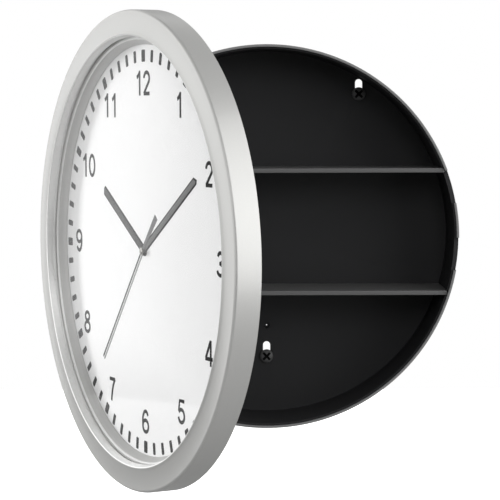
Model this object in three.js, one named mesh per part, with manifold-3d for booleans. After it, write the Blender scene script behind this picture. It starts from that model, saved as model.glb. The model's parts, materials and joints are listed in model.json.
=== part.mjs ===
// Clock diversion safe: a round wall clock whose front is the door of a shallow round case.
//
// Frame: the origin is the centre of the flat back that goes against the wall, +Z up, +X to
// the right and -Y out of the wall. Lengths are millimetres and angles are degrees. The door
// and all it carries are drawn closed, then swung open about the hinge by DOOR_OPEN.
// Inside the door a place is given as a depth behind the door's front face.

import * as THREE from 'three';
import { mergeVertices } from 'three/addons/utils/BufferGeometryUtils.js';
import Module from 'manifold-3d';

const wasm = await Module();
wasm.setup();

// Gaps and cutting allowances
const SEAT_GAP = 0.3; // between faces that rest on each other
const PRESS_GAP = 0.15; // round a hub that is pressed on
const PIVOT_GAP = 0.2; // round an arbor in its bearing
const OVERRUN = 1; // how far a cut passes the face it starts from

// Ring of the door, which is the clock's outline. Its opening is as wide as the case.
const BEZEL_RADIUS = 127;
const BEZEL_BAND = 14.5; // width of its face
const BEZEL_OPENING = BEZEL_RADIUS - BEZEL_BAND;

// Case: a round pan, open to the front
const CASE_RADIUS = BEZEL_OPENING;
const CASE_DEPTH = 55.5;
const CASE_WALL = 2.5;
const CASE_BACK = 2.5;
const CASE_BEVEL = 1.5; // round the back edge
const RIM_LIP = 1; // thickness of the outer lip of the rim
const RIM_STEP = 2; // how far the ledge inside the lip is set back
const CASE_BORE = CASE_RADIUS - CASE_WALL;

// Spring tab on the right of the rim, with a notch above and below it
const TAB_HEIGHT = 9.65;
const TAB_WIDTH = 20.3;
const NOTCH_WIDTH = 19;
const NOTCH_DEPTH = 5;

// Shelves, whose ends slide into grooves in the wall of the case
const SHELF_THICKNESS = 2.6;
const SHELF_TONGUE = 0.9;
const UPPER_SHELF_HEIGHT = 38.9;
const LOWER_SHELF_HEIGHT = -32.9;

// Slots for the wall screws, and the pilot hole above the lower slot
const SLOT_WIDTH = 5;
const SLOT_LENGTH = 18;
const TOP_SLOT_SPREAD = 56.3; // from the middle of the case
const TOP_SLOT_INSET = 1.6; // from the wall of the case down to the upper end
const LOWER_SLOT_INSET = 42.8; // from the wall of the case up to the upper end
const PILOT_RISE = 9.9; // above the upper end of the lower slot
const PILOT_SINK_RADIUS = 2.1;
const PILOT_SINK_DEPTH = 1.6;
const PILOT_RADIUS = 0.8;
const TOP_SLOT_END = chord(TOP_SLOT_SPREAD) - TOP_SLOT_INSET;
const LOWER_SLOT_END = LOWER_SLOT_INSET - CASE_BORE;
const PILOT_HEIGHT = LOWER_SLOT_END + PILOT_RISE;

// Wall screws: pan head, cross recess, shank cut at the wall
const WALL_SCREW_DROP = 9; // below the upper end of the slot
const WALL_HEAD_RADIUS = 4.1;
const WALL_HEAD_HEIGHT = 2.4;
const WALL_HEAD_ROUND = 1.1;
const WALL_SHANK_RADIUS = 1.9;
const CROSS_WIDTH = 1;
const CROSS_LENGTH = 4.6;
const CROSS_DEPTH = 1.2;
const CROSS_TURN = 45; // of the recess, from upright

// Door: ring, lens, inner ring, dial and cover, stacked behind one another
const DOOR_OPEN = 62.6;
const DOOR_GAP = 0.5; // between the closed door and the rim
const BEZEL_ROUND = 1.5;
const BEZEL_EDGE = 0.7; // bevel round the opening
const BEZEL_FACE = 2.5;
const BEZEL_WALL = 2.2;
const LIP_DEPTH = 2.7;
const RIB_WALL = 1.3;
const LENS_OVERLAP = 0.9; // behind the lip
const LENS_THICKNESS = 1.5;
const DIAL_RING_DEPTH = 5.2;
const DIAL_RING_EDGE = 1.3; // its bore at the lens, inside the opening
const DIAL_RING_SLOPE = 2.2; // how much narrower its bore is at the dial
const DIAL_THICKNESS = 1.2;
const DIAL_HOLE_GAP = 0.25; // round the movement's bush
const COVER_THICKNESS = 2.2;

const LENS_DEPTH = LIP_DEPTH + SEAT_GAP;
const DIAL_RING_START = LENS_DEPTH + LENS_THICKNESS + SEAT_GAP;
const DIAL_RING_FRONT = BEZEL_OPENING - DIAL_RING_EDGE;
const DIAL_RING_BACK = DIAL_RING_FRONT - DIAL_RING_SLOPE;
const DIAL_DEPTH = DIAL_RING_START + DIAL_RING_DEPTH + SEAT_GAP;
const COVER_DEPTH = DIAL_DEPTH + DIAL_THICKNESS + SEAT_GAP;
const DOOR_DEPTH = COVER_DEPTH + COVER_THICKNESS;
const DOOR_FRONT = -(CASE_DEPTH + DOOR_GAP + DOOR_DEPTH);
const LENS_RADIUS = BEZEL_OPENING + LENS_OVERLAP;
const RIB_BORE = LENS_RADIUS + SEAT_GAP;
const RIB_RADIUS = RIB_BORE + RIB_WALL;
const BEZEL_BORE = BEZEL_RADIUS - BEZEL_WALL;

// Hinge on the left: case ears towards the middle, door knuckles outside them
const HINGE_STANDOFF = 5.5; // from the case's wall to the axis
const HINGE_INSET = 2; // axis in front of the door's back
const KNUCKLE_RADIUS = 2.6;
const PIN_RADIUS = 1.3;
const EAR_START = 13.4;
const EAR_LENGTH = 6.6;
const EAR_ARM = 3.4;
const EAR_ROOT = 4.2; // depth of the arm's foot on the case's wall
const KNUCKLE_GAP = 0.4;
const KNUCKLE_LENGTH = 6.5;
const PIN_HEAD_RADIUS = 2.2;
const PIN_HEAD_HEIGHT = 1;
const RELIEF_GAP = 0.9; // free space round the ears inside the door
const RELIEF_LEFT = 4.8; // from the axis towards the door's edge
const RELIEF_RIGHT = 8;
const HINGE_X = -(CASE_RADIUS + HINGE_STANDOFF);
const HINGE_Y = -(CASE_DEPTH + DOOR_GAP + HINGE_INSET);
const EAR_END = EAR_START + EAR_LENGTH;
const KNUCKLE_START = EAR_END + KNUCKLE_GAP;
const KNUCKLE_END = KNUCKLE_START + KNUCKLE_LENGTH;
const PIN_HEAD_START = KNUCKLE_END + SEAT_GAP;
const HINGE_REACH = PIN_HEAD_START + PIN_HEAD_HEIGHT;

// Screws of the door
const COVER_SCREWS = 6;
const COVER_SCREW_TURN = 30; // angle of the first one, which keeps the hinge free
const BOSS_RADIUS = 2.8;
const BOSS_BORE_DEPTH = 4; // where the blind holes in the bosses end
const SCREW_RADIUS = 0.9;
const SCREW_GAP = 0.25;
const SCREW_HEAD_RADIUS = 2.2;
const SCREW_HEAD_HEIGHT = 1.1;
const SCREW_TIP_GAP = 1;
const SINK_GAP = 0.4; // round a sunk screw head
const SCREW_CIRCLE = (RIB_RADIUS + BEZEL_BORE) / 2;

// Catch on the back of the door, which springs past the tab
const CATCH_WIDTH = 12;
const CATCH_PLATE = 1.4;
const CATCH_LENGTH = 11.5;
const CATCH_REACH = 6; // how far the tongue stands behind its plate
const CATCH_SEAT = 3.9; // from the case's bore to the back of the tongue
const CATCH_CLEARANCE = 0.6; // from the nose to the case's bore
const CATCH_NOSE = 2; // depth of the nose along the tongue
const CATCH_SCREW_INSET = 7.7; // from the plate's right-hand end

// Movement housing: two shells that part at the middle
const HOUSING_SIDE = 56;
const HOUSING_CORNER = 3;
const HOUSING_WALL = 1.2;
const HOUSING_DEPTH = 16;
const HOUSING_FRONT_DEPTH = 7.85;
const APERTURE_GAP = 1; // round the housing in the cover
const EAR_REACH = 7; // screw ears at the sides of the housing
const EAR_HEIGHT = 8;
const EAR_SCREW_INSET = 3.2;
const BUSH_RADIUS = 2.7;
const BUSH_STAND = 0.1; // how far the bush ends behind the dial's face
const HOUSING_START = COVER_DEPTH;
const HOUSING_END = HOUSING_START + HOUSING_DEPTH;
const HOUSING_SPLIT = HOUSING_START + HOUSING_FRONT_DEPTH;
const HOUSING_FLOOR = HOUSING_START + HOUSING_WALL;
const HOUSING_ROOF = HOUSING_END - HOUSING_WALL;
const HOUSING_HALF = HOUSING_SIDE / 2;
const HOUSING_ROOM = HOUSING_HALF - HOUSING_WALL;

// Battery and its two contacts along the bottom of the housing
const BATTERY_RADIUS = 7.1;
const BATTERY_LENGTH = 49.3;
const BATTERY_NUB_RADIUS = 2.7;
const BATTERY_NUB_LENGTH = 1.2;
const BATTERY_BEVEL = 0.6;
const CONTACT_THICKNESS = 0.6;
const CONTACT_WIDTH = 9;
const PARTITION = 1.2;
const BAY_MARGIN = 0.4; // from the bay's opening to the walls round it
const BATTERY_DEPTH = HOUSING_FLOOR + SEAT_GAP + BATTERY_RADIUS;
const BATTERY_HEIGHT = -(HOUSING_ROOM - SEAT_GAP - BATTERY_RADIUS);
const PARTITION_LOW = BATTERY_HEIGHT + BATTERY_RADIUS + SEAT_GAP;
const PARTITION_TOP = PARTITION_LOW + PARTITION;

// Wheels: module, teeth and thickness. A pinion is the small gear of a pair.
const WHEEL_THICKNESS = 0.8;
const MOTION_THICKNESS = 1;
const LAYER_GAP = 0.5; // between wheels that pass over each other
const MOTION_MODULE = 0.48;
const CANNON_TEETH = 10;
const MOTION_TEETH = 30;
const KNOB_TEETH = 10;
const HOUR_PINION_TEETH = 8;
const HOUR_TEETH = 32;
const TRAIN_MODULE = 0.33;
const CENTRE_TEETH = 48;
const THIRD_PINION_TEETH = 6;
const THIRD_TEETH = 45;
const SECOND_PINION_TEETH = 6;
const SECOND_TEETH = 45;
const FIFTH_PINION_TEETH = 9;
const FIFTH_TEETH = 48;
const ROTOR_PINION_TEETH = 8;
const MOTION_ANGLE = 135;
const KNOB_ANGLE = 180; // from the motion wheel
const THIRD_ANGLE = 45;
const FIFTH_ANGLE = 90;
const ROTOR_ANGLE = 60; // from the fifth wheel

const MOTION_REACH = (MOTION_MODULE * (CANNON_TEETH + MOTION_TEETH)) / 2;
const HOUR_MODULE = (2 * MOTION_REACH) / (HOUR_PINION_TEETH + HOUR_TEETH);
const KNOB_REACH = (MOTION_MODULE * (KNOB_TEETH + MOTION_TEETH)) / 2;
const THIRD_REACH = (TRAIN_MODULE * (CENTRE_TEETH + THIRD_PINION_TEETH)) / 2;
const THIRD_MODULE = (2 * THIRD_REACH) / (THIRD_TEETH + SECOND_PINION_TEETH);
const FIFTH_REACH = (TRAIN_MODULE * (SECOND_TEETH + FIFTH_PINION_TEETH)) / 2;
const ROTOR_REACH = (TRAIN_MODULE * (FIFTH_TEETH + ROTOR_PINION_TEETH)) / 2;

// Depths of the layers, from the front of the housing to its back
const HOUR_LAYER = HOUSING_FLOOR + LAYER_GAP;
const MOTION_LAYER = HOUR_LAYER + MOTION_THICKNESS + LAYER_GAP;
const CENTRE_LAYER = MOTION_LAYER + MOTION_THICKNESS + LAYER_GAP;
const THIRD_LAYER = CENTRE_LAYER + WHEEL_THICKNESS + LAYER_GAP;
const PLATE_LAYER = THIRD_LAYER + WHEEL_THICKNESS + LAYER_GAP;
const SECOND_LAYER = PLATE_LAYER + WHEEL_THICKNESS + LAYER_GAP;
const FIFTH_LAYER = SECOND_LAYER + WHEEL_THICKNESS + LAYER_GAP;
const ROTOR_LAYER = FIFTH_LAYER + WHEEL_THICKNESS + SEAT_GAP;

// Arbors and pipes, one inside the other at the middle
const SECOND_ARBOR = 0.4;
const MINUTE_BORE = 0.65;
const MINUTE_ARBOR = 1.15;
const HOUR_BORE = 1.4;
const HOUR_PIPE = 1.85;
const BUSH_BORE = 2.1;
const TRAIN_ARBOR = 0.5;
const BEARING_WALL = 0.6;
const BEARING_DEPTH = 1.2;
const STUD_RADIUS = 0.6;
const STUD_GAP = 0.25;
const KNOB_SHAFT = 1.5;
const KNOB_RADIUS = 5.5;
const KNOB_HEIGHT = 3;
const KNOB_FLUTES = 12;
const KNOB_FLUTE_RADIUS = 0.6;
const MAGNET_RADIUS = 2.6;
const MAGNET_HEIGHT = 2;
const POST_RADIUS = 1.2;
const POST_INSET = 2.8; // from the housing's walls to a post's middle

// Coil, its iron frame, and the circuit board with its crystal
const STATOR_THICKNESS = 1;
const STATOR_GAP = 0.5; // round the rotor's magnet
const STATOR_MARGIN = 2.2; // iron left round the magnet's hole
const STATOR_LEG = 2.6; // width of the frame's legs
const STATOR_RISE = 7.5; // from the rotor's axis to each end of the frame
const COIL_RADIUS = 2.4;
const COIL_OFFSET = 15.6; // from the rotor's axis
const COIL_CORE_GAP = 0.3;
const BOARD_THICKNESS = 1;
const BOARD_WIDTH = 17.5;
const BOARD_HEIGHT = 12.5;
const CRYSTAL_RADIUS = 1;
const CRYSTAL_LENGTH = 6;
const STATOR_LAYER = ROTOR_LAYER + (MAGNET_HEIGHT - STATOR_THICKNESS) / 2;

// Hands, measured from the middle of the dial and turned clockwise from 12
const HAND_WIDTH = 4.5;
const HAND_THICKNESS = 0.35;
const HAND_GAP = 0.3; // between the hands, and over the dial
const MINUTE_HAND_GAP = 0.6; // between the hour hand and the minute hand
const SECOND_HAND_THICKNESS = 0.3;
const HOUR_LENGTH = 62;
const HOUR_ANGLE = 300.1;
const HOUR_HUB = 2.9;
const MINUTE_LENGTH = 77;
const MINUTE_ANGLE = 58.6;
const MINUTE_HUB = 2.5;
const SECOND_LENGTH = 81.3;
const SECOND_ANGLE = 220.5;
const SECOND_WIDTH = 1.6;
const SECOND_TAIL = 26;
const SECOND_TAIL_WIDTH = 3.6;
const SECOND_HUB = 1.9;
const CAP_RADIUS = 1.9;
const CAP_HEIGHT = 0.7;

const HOUR_HAND_DEPTH = DIAL_DEPTH - HAND_GAP - HAND_THICKNESS;
const MINUTE_HAND_DEPTH = HOUR_HAND_DEPTH - MINUTE_HAND_GAP;
const SECOND_HAND_DEPTH = MINUTE_HAND_DEPTH - HAND_GAP - SECOND_HAND_THICKNESS;
const CAP_DEPTH = SECOND_HAND_DEPTH - PRESS_GAP - CAP_HEIGHT;

// Facets round large discs, the battery and knob, rods, screws and flutes, and in each arc
const RING_FACETS = 64;
const DRUM_FACETS = 28;
const ROD_FACETS = 14;
const SCREW_FACETS = 10;
const FLUTE_FACETS = 7;
const ARC_FACETS = 3;

const rad = THREE.MathUtils.degToRad;

// A point at a distance and an anticlockwise angle from another point of the dial
function polar(distance, angle, from = [0, 0]) {
  return [from[0] + distance * Math.cos(rad(angle)), from[1] + distance * Math.sin(rad(angle))];
}

const CENTRE = [0, 0];
const MOTION_AXIS = polar(MOTION_REACH, MOTION_ANGLE);
const KNOB_AXIS = polar(KNOB_REACH, KNOB_ANGLE, MOTION_AXIS);
const THIRD_AXIS = polar(THIRD_REACH, THIRD_ANGLE);
const FIFTH_AXIS = polar(FIFTH_REACH, FIFTH_ANGLE);
const ROTOR_AXIS = polar(ROTOR_REACH, ROTOR_ANGLE, FIFTH_AXIS);

// Closed mesh to solid, and back
function solid(geometry) {
  const bare = geometry.index ? geometry.toNonIndexed() : geometry.clone();
  bare.deleteAttribute('normal');
  bare.deleteAttribute('uv');
  const merged = mergeVertices(bare);
  return new wasm.Manifold(new wasm.Mesh({
    numProp: 3,
    vertProperties: new Float32Array(merged.attributes.position.array),
    triVerts: new Uint32Array(merged.index.array),
  }));
}

function surface(body) {
  const mesh = body.getMesh();
  const geometry = new THREE.BufferGeometry();
  geometry.setAttribute('position', new THREE.BufferAttribute(mesh.vertProperties, mesh.numProp));
  geometry.setIndex(new THREE.BufferAttribute(mesh.triVerts, 1));
  geometry.computeVertexNormals();
  return geometry;
}

function join(bodies) {
  return bodies.reduce((whole, body) => whole.add(body));
}

function cut(body, tools) {
  return tools.reduce((rest, tool) => rest.subtract(tool), body);
}

// Box between two corners
function box(x0, x1, y0, y1, z0, z1) {
  const geometry = new THREE.BoxGeometry(x1 - x0, y1 - y0, z1 - z0);
  geometry.translate((x0 + x1) / 2, (y0 + y1) / 2, (z0 + z1) / 2);
  return solid(geometry);
}

// Outline of points [x, z] pushed through from one depth to another, along Y
function prism(outline, y0, y1) {
  const geometry = new THREE.ExtrudeGeometry(outline, {
    depth: y1 - y0, bevelEnabled: false, curveSegments: ARC_FACETS,
  });
  geometry.rotateX(Math.PI / 2);
  geometry.translate(0, y1, 0);
  return solid(geometry);
}

// Outline of points [x, y] pushed up from one height to another, along Z
function column(outline, z0, z1) {
  const geometry = new THREE.ExtrudeGeometry(outline, {
    depth: z1 - z0, bevelEnabled: false, curveSegments: ARC_FACETS,
  });
  geometry.translate(0, 0, z0);
  return solid(geometry);
}

// Round rods along Y and along Z
function rod([x, z], radius, y0, y1, facets = ROD_FACETS) {
  const geometry = new THREE.CylinderGeometry(radius, radius, y1 - y0, facets);
  geometry.translate(x, (y0 + y1) / 2, z);
  return solid(geometry);
}

function pillar([x, y], radius, z0, z1, facets = ROD_FACETS) {
  const geometry = new THREE.CylinderGeometry(radius, radius, z1 - z0, facets);
  geometry.rotateX(Math.PI / 2);
  geometry.translate(x, y, (z0 + z1) / 2);
  return solid(geometry);
}

// Profile of points [radius, y] turned about Y; it closes on itself or runs axis to axis
function turned(profile, facets = RING_FACETS) {
  let area = 0;
  profile.forEach(([r, y], i) => {
    const [nextR, nextY] = profile[(i + 1) % profile.length];
    area += r * nextY - nextR * y;
  });
  const ordered = area > 0 ? [...profile] : [...profile].reverse();
  const onAxis = profile[0][0] === 0 && profile[profile.length - 1][0] === 0;
  if (!onAxis) ordered.push(ordered[0]);
  return solid(new THREE.LatheGeometry(ordered.map(([r, y]) => new THREE.Vector2(r, y)), facets));
}

function outlineOf(points) {
  return new THREE.Shape(points.map(([x, z]) => new THREE.Vector2(x, z)));
}

function roundedSquare(half, corner) {
  const shape = new THREE.Shape();
  const inner = half - corner;
  shape.absarc(inner, inner, corner, 0, Math.PI / 2);
  shape.absarc(-inner, inner, corner, Math.PI / 2, Math.PI);
  shape.absarc(-inner, -inner, corner, Math.PI, (3 * Math.PI) / 2);
  shape.absarc(inner, -inner, corner, (3 * Math.PI) / 2, 2 * Math.PI);
  return shape;
}

// Upright slot with round ends
function slotOutline(x, top, length, width) {
  const shape = new THREE.Shape();
  const half = width / 2;
  shape.absarc(x, top - half, half, 0, Math.PI);
  shape.absarc(x, top - length + half, half, Math.PI, 2 * Math.PI);
  return shape;
}

// Toothed disc: each tooth narrows from its root to its tip
const TOOTH_ROOT_SHARE = 0.38;
const TOOTH_HEIGHT_SHARE = 0.8;
const TOOTH_FOOT_SHARE = 1.1;

function gearOutline(teeth, module, phase, [x, z]) {
  const pitch = (module * teeth) / 2;
  const tip = pitch + TOOTH_HEIGHT_SHARE * module;
  const root = pitch - TOOTH_FOOT_SHARE * module;
  const step = (2 * Math.PI) / teeth;
  const points = [];
  for (let tooth = 0; tooth < teeth; tooth += 1) {
    const middle = rad(phase) + tooth * step;
    const corners = [
      [root, -TOOTH_ROOT_SHARE],
      [tip, 0],
      [root, TOOTH_ROOT_SHARE],
    ];
    corners.forEach(([radius, share]) => {
      const angle = middle + share * step;
      points.push([x + radius * Math.cos(angle), z + radius * Math.sin(angle)]);
    });
  }
  return outlineOf(points);
}

// Angle of a tooth on a gear that meshes with another one in the given direction
function meshPhase(phase, teeth, direction, partnerTeeth) {
  const offset = ((phase - direction) * teeth) / 360;
  return direction + 180 + (360 / partnerTeeth) * (0.5 - offset);
}

function gear(teeth, module, phase, axis, layer, thickness) {
  return prism(gearOutline(teeth, module, phase, axis), at(layer), at(layer + thickness));
}

// Place along Y of a depth behind the door's front face
function at(depth) {
  return DOOR_FRONT + depth;
}

function atPlaces(places, make) {
  return places.map((place) => make(place));
}

// Finishes
function finish(color, roughness, metalness = 0) {
  return new THREE.MeshStandardMaterial({ color, roughness, metalness });
}

const silverPaint = finish('#c9c9c6', 0.45, 0.25);
const blackPlastic = finish('#141414', 0.55);
const darkPlastic = finish('#242424', 0.6);
const clearPlastic = finish('#f2f4f4', 0.05);
const dialWhite = finish('#f7f7f7', 0.7);
const greyHand = finish('#7f7f7f', 0.5, 0.2);
const brightMetal = finish('#c4c4c0', 0.3, 1);
const blackScrew = finish('#1b1b1b', 0.4, 0.6);
const milkPlastic = finish('#e4e2da', 0.5);
const brassMetal = finish('#c9a24a', 0.35, 1);
const copperWire = finish('#b5632f', 0.4, 1);
const boardGreen = finish('#2f6b3f', 0.6);
const batteryWrap = finish('#2f5fa8', 0.4, 0.3);

const safe = new THREE.Group();
const hinge = new THREE.Group();
const door = new THREE.Group();
hinge.position.set(HINGE_X, HINGE_Y, 0);
hinge.rotation.z = -rad(DOOR_OPEN);
door.position.set(-HINGE_X, -HINGE_Y, 0);
hinge.add(door);
safe.add(hinge);

function add(name, body, material, group = safe) {
  const mesh = new THREE.Mesh(surface(body), material);
  mesh.name = name;
  group.add(mesh);
  return mesh;
}

// Half the length of a chord of the case's bore, at a distance from its middle
function chord(distance) {
  return Math.sqrt(CASE_BORE ** 2 - distance ** 2);
}

function shelfBody(height, play) {
  const half = chord(height) + SHELF_TONGUE + play;
  const rise = SHELF_THICKNESS / 2 + play;
  const front = -(CASE_DEPTH - RIM_STEP);
  return box(-half, half, front - play, -(CASE_BACK + SEAT_GAP), height - rise, height + rise);
}

// Ear of the hinge: a knuckle on an arm from the case's wall, for one half of the hinge
function caseEar(side) {
  const low = Math.min(side * EAR_START, side * EAR_END);
  const high = Math.max(side * EAR_START, side * EAR_END);
  const foot = [-(CASE_RADIUS - RIM_LIP), -(CASE_DEPTH - EAR_ROOT / 2)];
  const run = Math.hypot(foot[0] - HINGE_X, foot[1] - HINGE_Y);
  const across = [
    (-(foot[1] - HINGE_Y) / run) * (EAR_ARM / 2),
    ((foot[0] - HINGE_X) / run) * (EAR_ARM / 2),
  ];
  const arm = outlineOf([
    [HINGE_X - across[0], HINGE_Y - across[1]],
    [foot[0] - across[0], foot[1] - across[1]],
    [foot[0] + across[0], foot[1] + across[1]],
    [HINGE_X + across[0], HINGE_Y + across[1]],
  ]);
  return pillar([HINGE_X, HINGE_Y], KNUCKLE_RADIUS, low, high).add(column(arm, low, high));
}

// Sideways place and upper end of each slot: left, right, lower
const slotPlaces = [
  [-TOP_SLOT_SPREAD, TOP_SLOT_END],
  [TOP_SLOT_SPREAD, TOP_SLOT_END],
  [0, LOWER_SLOT_END],
];

function caseShell() {
  const rim = -CASE_DEPTH;
  const ledge = rim + RIM_STEP;
  const pan = turned([
    [0, 0],
    [CASE_RADIUS - CASE_BEVEL, 0],
    [CASE_RADIUS, -CASE_BEVEL],
    [CASE_RADIUS, rim],
    [CASE_RADIUS - RIM_LIP, rim],
    [CASE_RADIUS - RIM_LIP, ledge],
    [CASE_BORE, ledge],
    [CASE_BORE, -CASE_BACK],
    [0, -CASE_BACK],
  ]);
  const ears = [caseEar(1), caseEar(-1)];
  const notches = atPlaces([1, -1], (side) => {
    const near = TAB_HEIGHT + side * (TAB_WIDTH / 2);
    const far = near + side * NOTCH_WIDTH;
    return box(
      0, CASE_RADIUS + OVERRUN, rim - OVERRUN, rim + NOTCH_DEPTH,
      Math.min(near, far), Math.max(near, far),
    );
  });
  const grooves = atPlaces(
    [UPPER_SHELF_HEIGHT, LOWER_SHELF_HEIGHT],
    (height) => shelfBody(height, SEAT_GAP),
  );
  const slots = atPlaces(slotPlaces, ([x, top]) => prism(
    slotOutline(x, top, SLOT_LENGTH, SLOT_WIDTH), -(CASE_BACK + OVERRUN), OVERRUN,
  ));
  const pilot = [0, PILOT_HEIGHT];
  const pilotHoles = [
    rod(pilot, PILOT_SINK_RADIUS, -(CASE_BACK + OVERRUN), PILOT_SINK_DEPTH - CASE_BACK),
    rod(pilot, PILOT_RADIUS, -(CASE_BACK + OVERRUN), OVERRUN),
  ];
  const reach = HINGE_REACH + OVERRUN;
  const pinHole = pillar([HINGE_X, HINGE_Y], PIN_RADIUS + PRESS_GAP, -reach, reach);
  return cut(join([pan, ...ears]), [...notches, ...grooves, ...slots, ...pilotHoles, pinHole]);
}

// Hinge pin: a plain pin with a head outside the door's knuckle
function hingePin(side) {
  const ends = (from, to) => [Math.min(side * from, side * to), Math.max(side * from, side * to)];
  const axis = [HINGE_X, HINGE_Y];
  const shank = pillar(axis, PIN_RADIUS, ...ends(EAR_START, PIN_HEAD_START));
  const head = pillar(axis, PIN_HEAD_RADIUS, ...ends(PIN_HEAD_START, HINGE_REACH));
  return shank.add(head);
}

function wallScrew([x, slotTop]) {
  const seat = -(CASE_BACK + SEAT_GAP);
  const face = seat - WALL_HEAD_HEIGHT;
  const shoulder = face + WALL_HEAD_ROUND;
  const inset = WALL_HEAD_ROUND * (1 - Math.SQRT1_2);
  const screw = turned([
    [0, face],
    [WALL_HEAD_RADIUS - WALL_HEAD_ROUND, face],
    [WALL_HEAD_RADIUS - inset, face + inset],
    [WALL_HEAD_RADIUS, shoulder],
    [WALL_HEAD_RADIUS, seat],
    [WALL_SHANK_RADIUS, seat],
    [WALL_SHANK_RADIUS, -SEAT_GAP],
    [0, -SEAT_GAP],
  ], ROD_FACETS);
  const half = CROSS_LENGTH / 2;
  const arm = CROSS_WIDTH / 2;
  const recess = box(-half, half, face - OVERRUN, face + CROSS_DEPTH, -arm, arm);
  const cross = atPlaces([CROSS_TURN, -CROSS_TURN], (turn) => recess.rotate([0, turn, 0]));
  return cut(screw, cross).translate([x, 0, slotTop - WALL_SCREW_DROP]);
}

const screwPlaces = Array.from(
  { length: COVER_SCREWS },
  (_, i) => polar(SCREW_CIRCLE, COVER_SCREW_TURN + (360 / COVER_SCREWS) * i),
);

// Knuckle of the door, on a web from the back of the ring's face
function doorKnuckle(side) {
  const low = Math.min(side * KNUCKLE_START, side * KNUCKLE_END);
  const high = Math.max(side * KNUCKLE_START, side * KNUCKLE_END);
  const knuckle = pillar([HINGE_X, HINGE_Y], KNUCKLE_RADIUS, low, high);
  const web = box(
    HINGE_X - KNUCKLE_RADIUS, HINGE_X + KNUCKLE_RADIUS,
    at(BEZEL_FACE - BEZEL_EDGE), HINGE_Y, low, high,
  );
  return knuckle.add(web);
}

function bezelRing() {
  const corner = [];
  for (let i = 0; i <= ARC_FACETS; i += 1) {
    const angle = ((Math.PI / 2) * i) / ARC_FACETS;
    corner.push([
      BEZEL_RADIUS - BEZEL_ROUND * (1 - Math.cos(angle)),
      at(BEZEL_ROUND * (1 - Math.sin(angle))),
    ]);
  }
  const ribEnd = at(COVER_DEPTH - SEAT_GAP);
  const ring = turned([
    [BEZEL_RADIUS, at(DOOR_DEPTH)],
    ...corner,
    [BEZEL_OPENING + BEZEL_EDGE, at(0)],
    [BEZEL_OPENING, at(BEZEL_EDGE)],
    [BEZEL_OPENING, at(LIP_DEPTH)],
    [RIB_BORE, at(LIP_DEPTH)],
    [RIB_BORE, ribEnd],
    [RIB_RADIUS, ribEnd],
    [RIB_RADIUS, at(BEZEL_FACE)],
    [BEZEL_BORE, at(BEZEL_FACE)],
    [BEZEL_BORE, at(DOOR_DEPTH)],
  ]);
  const relief = box(
    HINGE_X - RELIEF_LEFT, HINGE_X + RELIEF_RIGHT,
    HINGE_Y - KNUCKLE_RADIUS - RELIEF_GAP, at(DOOR_DEPTH) + OVERRUN,
    -KNUCKLE_START, KNUCKLE_START,
  );
  const bosses = atPlaces(screwPlaces, (place) => rod(
    place, BOSS_RADIUS, at(BEZEL_FACE - BEZEL_EDGE), ribEnd,
  ));
  const bores = atPlaces(screwPlaces, (place) => rod(
    place, SCREW_RADIUS + SCREW_GAP, at(BOSS_BORE_DEPTH), ribEnd + OVERRUN,
  ));
  const reach = HINGE_REACH + OVERRUN;
  const pinHole = pillar([HINGE_X, HINGE_Y], PIN_RADIUS + SEAT_GAP, -reach, reach);
  const whole = join([ring.subtract(relief), ...bosses, doorKnuckle(1), doorKnuckle(-1)]);
  return cut(whole, [...bores, pinHole]);
}

function disc(radius, depth, thickness) {
  return rod(CENTRE, radius, at(depth), at(depth + thickness), RING_FACETS);
}

function dialRing() {
  const start = at(DIAL_RING_START);
  const end = at(DIAL_RING_START + DIAL_RING_DEPTH);
  return turned([
    [LENS_RADIUS, start],
    [DIAL_RING_FRONT, start],
    [DIAL_RING_BACK, end],
    [LENS_RADIUS, end],
  ]);
}

// Small pan head screw driven from the back, with its head's seat at a depth
function smallScrew(place, headSeat, tip) {
  const headEnd = at(headSeat + SCREW_HEAD_HEIGHT);
  const head = rod(place, SCREW_HEAD_RADIUS, at(headSeat), headEnd, SCREW_FACETS);
  const shank = rod(place, SCREW_RADIUS, at(tip), headEnd - SCREW_HEAD_HEIGHT / 2, SCREW_FACETS);
  return head.add(shank);
}

const earScrewPlaces = atPlaces(
  [-1, 1],
  (side) => [side * (HOUSING_HALF + EAR_REACH - EAR_SCREW_INSET), 0],
);
const CATCH_EDGE = CASE_BORE - CATCH_SEAT; // right-hand end of the catch's plate
const catchScrewPlace = [CATCH_EDGE - CATCH_SCREW_INSET, TAB_HEIGHT];
const COVER_SEAT = DOOR_DEPTH - SCREW_HEAD_HEIGHT - PRESS_GAP; // floor of the sunk head's seat

function rearCover() {
  const plate = disc(BEZEL_BORE - SEAT_GAP, COVER_DEPTH, COVER_THICKNESS);
  const start = at(COVER_DEPTH) - OVERRUN;
  const end = at(DOOR_DEPTH) + OVERRUN;
  const aperture = prism(
    roundedSquare(HOUSING_HALF + APERTURE_GAP, HOUSING_CORNER + APERTURE_GAP), start, end,
  );
  const hingeNotch = box(
    -(BEZEL_RADIUS + OVERRUN), -(CASE_RADIUS - RIM_LIP), start, end,
    -(HINGE_REACH + OVERRUN), HINGE_REACH + OVERRUN,
  );
  const hole = (place) => rod(place, SCREW_RADIUS + SCREW_GAP, start, end);
  const sink = (place) => rod(place, SCREW_HEAD_RADIUS + SINK_GAP, at(COVER_SEAT), end);
  return cut(plate, [
    aperture,
    hingeNotch,
    ...atPlaces([...screwPlaces, ...earScrewPlaces, catchScrewPlace], hole),
    ...atPlaces(screwPlaces, sink),
  ]);
}

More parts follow.
